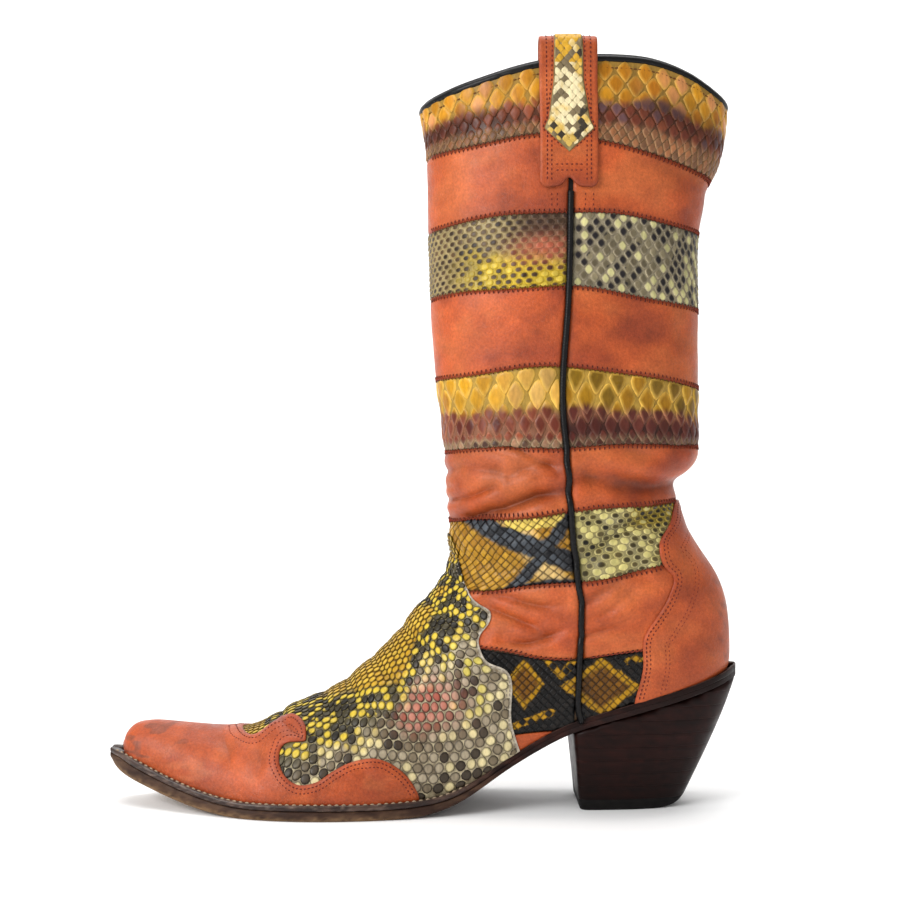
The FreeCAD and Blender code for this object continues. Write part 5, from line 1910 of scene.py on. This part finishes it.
def make_piping():
    for near, name in SIDES:
        build = Build()
        path, ups, s = side_path(0.0, 276.0, near, 1.9, 0.3)
        ripple = 1.0 + 0.05 * (noise(s / 2.2, s * 0.0, 131.0) - 0.5) + 0.05 * np.sin(s * TAU / 1.2)
        tube(build, path, ups, 1.38 * ripple, BLACK_TONE, 12)
        flange, ups, _s = side_path(0.0, 276.0, near, 0.55)
        tube(build, flange, ups, 1.6, linear(20, 17, 16), 12, 0.25)
        build.piece("side_piping_%s_cord" % name, "black_leather", BLACK, "side_piping_" + name)


def make_binding():
    a = np.linspace(0.0, TAU, 361)
    profile = [(-0.35, 1.9), (-1.45, 2.0), (-1.85, 1.2), (-1.8, 0.1), (-1.25, -0.95), (-0.1, -1.35),
               (1.05, -1.0),
               (1.75, 0.0), (1.9, 0.8), (1.75, 1.5), (1.2, 1.85)]
    rim = seam_row(0, a)
    pucker = 0.12 * (noise(a * 60.0, a * 0.0, 133.0) - 0.5)
    rings = np.stack([at_skin(rim + 0.6 + down, a, lift + pucker) for lift, down in profile], 1)
    build = Build()
    build.grid(rings, BLACK_TONE, wrap=True)
    build.piece("top_binding_roll", "black_leather", BLACK, "top_binding")


STRAP_X, STRAP_HALF, STRAP_THICK, STRAP_LOOP = 65.0, 12.7, 1.9, 7.0
STRAP_TOP, STRAP_OUT_END, STRAP_IN_END = 344.2, 277.5, 296.0


def strap_path():
    """Middle line of the pull strap in height and distance out from the shaft's middle plane."""
    level = np.arange(STRAP_OUT_END, 327.0, 1.0)
    s = 150.0 - level
    wall = np.abs(at_skin(s, side_angle(s), 2.6)[:, 1])
    inner_level = np.arange(327.0, STRAP_IN_END, -1.0)
    s_in = 150.0 - inner_level
    inner = np.abs(at_skin(s_in, side_angle(s_in), -2.4)[:, 1])
    middle = wall[-1] - 2.6
    arc = np.linspace(0.0, math.pi, 15)
    radius = STRAP_LOOP - STRAP_THICK / 2.0
    turn = np.stack([STRAP_TOP - STRAP_LOOP + radius * np.sin(arc), middle + radius * np.cos(arc)], -1)
    line = np.concatenate([np.stack([level, wall], -1), turn, np.stack([inner_level, inner], -1)])
    for _turn in range(6):
        line[1:-1] = 0.25 * line[:-2] + 0.5 * line[1:-1] + 0.25 * line[2:]
    return line, run_across(line)


STRAP_LINE, STRAP_RUN = strap_path()


def on_strap(across, along, lift, near):
    """Points on the strap's outer face: across from its middle, along from its outer end."""
    across, along, lift = np.broadcast_arrays(*(np.asarray(v, float) for v in (across, along, lift)))
    z = np.interp(along, STRAP_RUN, STRAP_LINE[:, 0])
    out = np.interp(along, STRAP_RUN, STRAP_LINE[:, 1])
    slope = np.gradient(STRAP_LINE, STRAP_RUN, axis=0)
    dz, dout = np.interp(along, STRAP_RUN, slope[:, 0]), np.interp(along, STRAP_RUN, slope[:, 1])
    size = np.hypot(dz, dout) + 1e-9
    reach = STRAP_THICK / 2.0 + lift
    z = z - dout / size * reach * 1.0
    out = out + dz / size * reach
    wrap = 0.0024 * across ** 2 * smooth_step(62.0, 40.0, along)
    sign = -1.0 if near else 1.0
    skew = 1.2 * smooth_step(20.0, 66.0, along) * (-1.0)
    return np.stack([STRAP_X + across + skew * 0.6, sign * (out - wrap), z], -1)


def strap_end(across):
    """Where the strap's outer end lies: a notch rises over the piping."""
    corner = np.clip((np.abs(across) - STRAP_HALF + 3.2) / 3.2, 0.0, 1.0)
    rounding = 3.2 * (1.0 - np.sqrt(1.0 - 0.98 * corner ** 2))
    return 3.6 * np.exp(-((across / 2.6) ** 2)) + 0.6 * np.exp(-((across / 5.5) ** 2)) + rounding


def make_straps():
    finish = STRAP_RUN[-1]
    for near, name in SIDES:
        build = Build()
        across = STRAP_HALF * np.sin(np.linspace(-1.0, 1.0, 41) * math.pi / 2.0)
        along = np.linspace(0.0, 1.0, 150)
        across, share = np.meshgrid(across, along)
        start = strap_end(across)
        run = start + share * (finish - start)
        edge = np.minimum.reduce([STRAP_HALF - np.abs(across) + 0.05, run - start + 0.05, finish - run
                                  + 0.05])
        roll = 0.62 * np.exp(-edge / 0.55)
        groove = -0.16 * np.exp(-(((STRAP_HALF - np.abs(across) - 2.4) / 0.8) ** 2))
        top = on_strap(across, run, -roll + groove + 0.12 * (clouds(across / 6.0, run / 6.0, 141.0) - 0.5),
                       near)
        bottom = on_strap(across, run, -STRAP_THICK + 0.7 * roll, near)
        tone = leather_tint(across, run, 17.0) * (1.0 - 0.3 * np.exp(-edge / 0.7))[..., None]
        build.slab(top, bottom, tone, mirror=not near)
        build.piece("pull_strap_%s_loop" % name, "terracotta_leather", LEATHER, "pull_strap_" + name)
        make_inlay(near, name)


INLAY_FOOT, INLAY_HEAD = 15.2, 64.0


def inlay_half(along):
    """Half width of the arrow-shaped python inlay."""
    return np.interp(along, [INLAY_FOOT, 25.5, 30.0, 46.0, INLAY_HEAD, 90.0], [0.0, 11.0, 9.0, 6.6, 6.2, 6.2])


def make_inlay(near, name):
    build = Build()
    share, down = np.meshgrid(np.linspace(-1.0, 1.0, 25), np.linspace(0.0, 1.0, 90))
    head = INLAY_HEAD + 14.0
    along = INLAY_FOOT + 0.01 + down * (head - INLAY_FOOT)
    half = inlay_half(along)
    across = share * half
    edge = np.minimum(half - np.abs(across), head - along) + 0.03
    lift = 0.62 - 0.4 * np.exp(-edge / 0.35)
    base = mix(linear(120, 100, 62), linear(190, 172, 120), noise(across / 2.0, along / 2.0, 143.0))
    base = mix(base, linear(112, 84, 40), 0.7 * np.exp(-edge / 0.5))
    top, bottom = on_strap(across, along, lift, near), on_strap(across, along, 0.02, near)
    build.slab(top, bottom, base, mirror=not near)
    spots = lattice(-12.0, 12.0, INLAY_FOOT, head, 3.4, 1.85, 5.0)
    sizes = np.tile([1.66, 1.75], (len(spots), 1))

    def inside(u, v):
        return (np.abs(u) < inlay_half(v) - 0.5) & (v > INLAY_FOOT + 0.8) & (v < head - 0.5)

    def tint(u, v, share, number):
        pick = hashed(number, 1.0, 9.0)
        place = clouds(u / 6.0, v / 9.0, 145.0)
        colour = mix(linear(238, 222, 176), linear(220, 182, 92), smooth_step(0.42, 0.62, place))
        colour = mix(colour, linear(214, 164, 52), 1.0 * (v > 54.0) * (pick > 0.3))
        colour = mix(colour, linear(128, 112, 84), 1.0 * (pick < 0.2))
        colour = mix(colour, linear(64, 56, 46), 1.0 * (pick < 0.1) * (place > 0.45))
        return colour * (0.55 + 0.45 * (share < 0.9))

    surface = lambda u, v, lift_mm: on_strap(u, v, lift_mm, near)
    add_scales(build, surface, spots, sizes, np.zeros(len(spots)), "lozenge", 0.62, 0.26, tint, inside, 0.3,
               12)
    build.piece("strap_inlay_%s_scales" % name, "python_skin", PYTHON, "strap_inlay_" + name)


make_piping()
make_binding()
make_straps()


# ------------------------------------------------------------------ stitches

def spaced(points, pitch):
    """Positions, as fractional indices, at equal steps along a path."""
    run = run_along(points)
    count = max(2, int(run[-1] / pitch))
    return np.interp(np.linspace(0.0, run[-1], count + 1), run, np.arange(len(points)))


def at_index(values, index):
    low = np.clip(np.floor(index).astype(int), 0, len(values) - 2)
    part = (index - low)[:, None]
    return values[low] * (1 - part) + values[low + 1] * part


def row_stitches(build, path, ups, pitch, length, radius, colour, sink=0.55):
    """Running stitches along a path, each a short thread between two holes."""
    index = spaced(path, pitch)
    centres, upward = at_index(path, index), at_index(ups, index)
    along = unit(np.gradient(centres, axis=0))
    wander = (hashed(np.arange(len(index)), 1.0, 12.0) - 0.5)[:, None] * 0.12
    starts, ends = centres - along * (length / 2.0 - wander), centres + along * (length / 2.0 + wander)
    capsules(build, starts[1:-1], ends[1:-1], upward[1:-1], radius, colour, sink)


def on_outline(shape, distance, lift, near, tuck=0.4):
    """Runs of points along a side-view outline drawn inwards, on the skin."""
    line = shape.inset(distance) if distance else shape.line
    s, a = locate(line, near)
    points = at_skin(s, a, lift)
    ups = sample(NORMAL, s, a)
    plain = at_skin(s, a, 0.0)
    good = np.hypot(plain[:, 0] - line[:, 0], plain[:, 2] - line[:, 1]) < 1.6
    good &= above_welt(points[:, 0], points[:, 2], tuck) > 0.0
    runs, start = [], None
    for k, flag in enumerate(list(good) + [False]):
        if flag and start is None:
            start = k
        if not flag and start is not None:
            if k - start > 6:
                runs.append((points[start:k], ups[start:k]))
            start = None
    return runs


def band_stitches(build, number, back, near, colour):
    """Zigzag over the seam between two bands, from the ridge or heel line to the side seam."""
    band = Band(number, number + 1, back)
    low, high = (0.0, 0.995) if near != back else (-0.995, 0.0)
    if back:
        low, high = (-0.995, 0.0) if near else (0.0, 0.995)
    share = np.linspace(low, high, 240)
    s, a = band.place(share, np.zeros(240))
    path = at_skin(s, a, 1.45)
    index = spaced(path, 1.1)
    s_fine, a_fine = np.interp(index, np.arange(240), s), np.interp(index, np.arange(240), a)
    wobble = 0.16 * (hashed(np.arange(len(index)), 2.0, 13.0) - 0.5)
    leather_side = 1.0 if number % 2 == 1 else -1.0
    swing = leather_side * np.where(np.arange(len(index)) % 2 == 0, 1.75, -0.75) + wobble
    here = at_skin(s_fine, a_fine, 0.0)
    reach = np.hypot(here[:, 0] - PIVOT_X, here[:, 2] - PIVOT_Z) * math.radians(1.0) / FAN_MM
    swing = swing / np.where(s_fine > 0.0, reach, 1.0)
    points = at_skin(s_fine + swing, a_fine, 1.72)
    ups = sample(NORMAL, s_fine, a_fine)
    plain = at_skin(s_fine, a_fine, 0.0)
    x, z = plain[:, 0], plain[:, 2]
    open_air = (VAMP_SHAPE.depth(x, z) < 0.6) & (COUNTER_SHAPE.depth(x, z) < 0.6)
    open_air = open_air & (above_welt(x, z, 0.0) > 0.6)
    good = open_air[:-1] & open_air[1:]
    capsules(build, points[:-1][good], points[1:][good], ups[:-1][good], 0.15, colour, 0.15, 5)
    # Painted shade: a short, darker, thicker thread where each stitch dips into its hole.
    holes = at_skin(s_fine + 0.35 * swing, a_fine, 1.62)[:-1]
    capsules(build, points[:-1][good], holes[good], ups[:-1][good], 0.26, linear(74, 24, 14), 0.1, 5)


def make_band_stitches():
    for near, name in SIDES:
        for back, half in HALVES:
            build = Build()
            for number in range(1, 9):
                band_stitches(build, number, back, near, linear(150, 58, 34))
            build.piece("seam_stitches_%s_%s" % (half, name), "terracotta_leather", THREAD)


def make_upper_stitches():
    red = THREAD_RED
    for near, name in SIDES:
        build = Build()
        for distance in (1.5, 3.3):
            for path, ups in on_outline(TOE_CAP_SHAPE, distance, 4.0, near, -1.5):
                row_stitches(build, path, ups, 1.75, 1.2, 0.26, red)
        build.piece("toe_cap_stitches_" + name, "terracotta_leather", THREAD)
        build = Build()
        for distance in (1.4, 3.0):
            for path, ups in on_outline(COUNTER_SHAPE, distance, 2.8, near):
                row_stitches(build, path, ups, 1.9, 1.25, 0.26, red)
        for distance in (9.6, 11.2):
            for path, ups in on_outline(COUNTER_SHAPE, distance, 2.8, near):
                row_stitches(build, path, ups, 1.9, 1.25, 0.22, linear(132, 48, 30))
        build.piece("counter_stitches_" + name, "terracotta_leather", THREAD)
        build = Build()
        for distance in (1.1, 2.5):
            for path, ups in on_outline(VAMP_SHAPE, distance, 2.5, near):
                row_stitches(build, path, ups, 1.9, 1.4, 0.24, linear(150, 140, 124))
        build.piece("vamp_stitches_" + name, "python_skin", THREAD)


def make_rim_stitches():
    build = Build()
    for start, end in ((math.radians(-178), math.radians(-98)), (math.radians(-82), math.radians(-0.5)),
                       (math.radians(0.5), math.radians(82)), (math.radians(98), math.radians(178))):
        a = np.linspace(start, end, 160)
        s = seam_row(0, a) + 5.2
        row_stitches(build, at_skin(s, a, 1.6), sample(NORMAL, s, a), 2.1, 1.6, 0.24, linear(104, 54, 18))
    build.piece("rim_stitches", "python_skin", THREAD)


def make_strap_stitches():
    red = THREAD_RED
    for near, name in SIDES:
        build = Build()
        finish = STRAP_RUN[-1]

        def line(across, along):
            path = on_strap(across, along, 0.02, near)
            above = on_strap(across, along, 1.0, near)
            ups = above - path
            row_stitches(build, path, ups / np.linalg.norm(ups, axis=1)[:, None], 2.0, 1.35, 0.27, red)

        run = np.linspace(2.0, finish - 2.0, 260)
        for across in (-9.6, 9.6, -7.7, 7.7):
            line(np.full(260, across), run if abs(across) > 9 else np.linspace(1.5, 24.0, 260))
        for level, reach in ((9.8, 7.4), (7.2, 7.2)):
            line(np.linspace(-reach, reach, 40), np.full(40, level))
        edge_along = np.linspace(INLAY_FOOT + 1.2, INLAY_HEAD + 12.0, 90)
        for sign in (-1.0, 1.0):
            half = inlay_half(edge_along) + 0.75
            line(sign * half, edge_along)
        build.piece("pull_strap_%s_stitches" % name, "terracotta_leather", THREAD)
        build = Build()
        for offset in (-5.2, -3.7, 4.0, 6.2):
            s = np.linspace(150.0 - STRAP_OUT_END + 0.6, 150.0 - STRAP_OUT_END + 9.6, 20)
            a = side_angle(s) + offset / 39.0
            a = a if near else -a
            row_stitches(build, at_skin(s, a, 1.55), sample(NORMAL, s, a), 1.9, 1.3, 0.25, red)
        build.piece("shaft_tack_stitches_" + name, "terracotta_leather", THREAD)


def make_welt_stitches():
    """Light stitches along the welt's top, both sides and round the toe."""
    x, _bottom, _joint, top, near, far = SOLE
    tone = linear(168, 146, 120)
    for edge, sign, name in ((near, 1.0, "left"), (far, -1.0, "right")):
        inner = edge + sign * np.minimum(1.75, 0.4 * (far - near))
        good = (x > -143.5) & (x < 24.0)
        path = np.stack([x, inner, top + 0.02], -1)[good]
        ups = np.tile([0.0, 0.0, 1.0], (len(path), 1))
        build = Build()
        row_stitches(build, path, ups, 3.1, 2.25, 0.42, tone, 0.35)
        build.piece("welt_stitches_" + name, "welt_leather", THREAD)


make_band_stitches()
make_upper_stitches()
make_rim_stitches()
make_strap_stitches()
make_welt_stitches()


# ------------------------------------------------------------------ hidden parts, floor, light and camera

def solid_material(name, colour, roughness, scale=500.0, spread=0.12, metal=0.0):
    """A procedural finish for the frame's own pieces, which carry no Tint."""
    material, nodes, links, shader = new_material(name, Roughness=roughness, Metallic=metal)
    mottle = ranged(nodes, links, texture_noise(nodes, links, scale * 0.3, 5.0), 1 - spread, 1 + spread,
                    0.3, 0.7)
    tone = nodes.new("ShaderNodeRGB")
    tone.outputs[0].default_value = (*colour, 1.0)
    scaled = nodes.new("ShaderNodeVectorMath")
    scaled.operation = "SCALE"
    links.new(tone.outputs[0], scaled.inputs[0])
    links.new(mottle, scaled.inputs["Scale"])
    links.new(scaled.outputs[0], shader.inputs["Base Color"])
    bumped(nodes, links, shader, [(texture_noise(nodes, links, scale, 4.0), 0.06)])
    return material


def finish_frame_nodes():
    finishes = {
        "insole": solid_material("insole_finish", linear(150, 112, 78), 0.6),
        "sock_liner": solid_material("sock_liner_finish", linear(74, 52, 40), 0.55),
        "cork_filler": solid_material("cork_finish", linear(172, 128, 84), 0.8, 900.0, 0.3),
        "steel_shank": solid_material("shank_finish", linear(150, 152, 156), 0.35, 800.0, 0.05, 1.0),
        "heel_nails": solid_material("nail_finish", linear(168, 168, 170), 0.35, 800.0, 0.05, 1.0),
        "waist_pegs": solid_material("peg_finish", linear(206, 176, 128), 0.6, 900.0, 0.2),
    }
    other = solid_material("plain_leather_finish", linear(150, 84, 56), 0.5)
    for name, node in NODES.items():
        material = finishes.get(name, other)
        node.data.materials.clear()
        node.data.materials.append(material)


def add_floor():
    """A pale floor that curves up into a pale wall behind."""
    depth = np.concatenate([np.linspace(-2.2, 0.9, 24), 0.9
                            + 0.6 * np.sin(np.linspace(0.08, math.pi / 2.0, 18))])
    height = np.concatenate([np.zeros(24), 0.6 - 0.6 * np.cos(np.linspace(0.08, math.pi / 2.0, 18))])
    depth, height = np.append(depth, 1.5), np.append(height, 3.2)
    width = np.linspace(-3.4, 3.4, 30)
    points = np.stack(np.broadcast_arrays(width[None, :], depth[:, None], height[:, None]), -1).reshape(-1, 3)
    index = np.arange(len(points)).reshape(len(depth), len(width))
    quads = np.stack([index[:-1, :-1], index[:-1, 1:], index[1:, 1:], index[1:, :-1]], -1).reshape(-1, 4)
    mesh = bpy.data.meshes.new("floor")
    mesh.from_pydata(points.tolist(), [], quads.tolist())
    mesh.polygons.foreach_set("use_smooth", [True] * len(quads))
    floor = bpy.data.objects.new("floor", mesh)
    bpy.context.scene.collection.objects.link(floor)
    material, nodes, links, shader = new_material("pale_floor", Roughness=0.75)
    tone = ranged(nodes, links, texture_noise(nodes, links, 3.0, 3.0), 0.93, 0.95)
    combine = nodes.new("ShaderNodeCombineColor")
    for channel in ("Red", "Green", "Blue"):
        links.new(tone, combine.inputs[channel])
    links.new(combine.outputs["Color"], shader.inputs["Base Color"])
    mesh.materials.append(material)
    floor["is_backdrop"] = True


def add_light(name, place, target, wide, tall, energy, colour=(1.0, 1.0, 1.0)):
    data = bpy.data.lights.new(name, "AREA")
    data.shape = "RECTANGLE"
    data.size, data.size_y, data.energy, data.color = wide, tall, energy, colour
    light = bpy.data.objects.new(name, data)
    light.location = place
    light.rotation_euler = (Vector(target) - Vector(place)).to_track_quat("-Z", "Y").to_euler()
    bpy.context.scene.collection.objects.link(light)


def add_studio():
    world = bpy.data.worlds.new("studio")
    bpy.context.scene.world = world
    world.use_nodes = True
    background = world.node_tree.nodes["Background"]
    background.inputs["Color"].default_value = (1.0, 0.99, 0.975, 1.0)
    background.inputs["Strength"].default_value = WORLD_STRENGTH
    middle = (0.0, 0.0, 0.16)
    add_light("key", (-1.0, -0.9, 0.75), middle, 0.8, 0.7, KEY_ENERGY)
    add_light("fill", (0.9, -0.9, 0.5), middle, 0.8, 0.8, FILL_ENERGY)
    add_light("top", (0.0, 0.1, 1.5), middle, 1.4, 1.0, TOP_ENERGY)
    add_light("wall", (0.0, 0.2, 2.3), (0.0, 1.5, 0.9), 2.4, 0.6, WALL_ENERGY)
    bpy.context.scene.view_settings.view_transform = "Standard"
    data = bpy.data.cameras.new("camera")
    data.lens, data.shift_y, data.clip_end = CAMERA_LENS, CAMERA_SHIFT, 20.0
    camera = bpy.data.objects.new("camera", data)
    camera.location = CAMERA_PLACE
    camera.rotation_euler = (math.radians(90.0), 0.0, 0.0)
    bpy.context.scene.collection.objects.link(camera)
    bpy.context.scene.camera = camera


WALL_ENERGY = 32.0
WORLD_STRENGTH, KEY_ENERGY, FILL_ENERGY, TOP_ENERGY = 0.46, 19.0, 1.0, 8.0
CAMERA_PLACE, CAMERA_LENS, CAMERA_SHIFT = (0.0146, -0.7, 0.155), 59.8, 0.0143

finish_frame_nodes()
add_floor()
add_studio()

sizes = [[list(map(float, corner)) for corner in box] for box in (CAD_BOUNDS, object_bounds())]
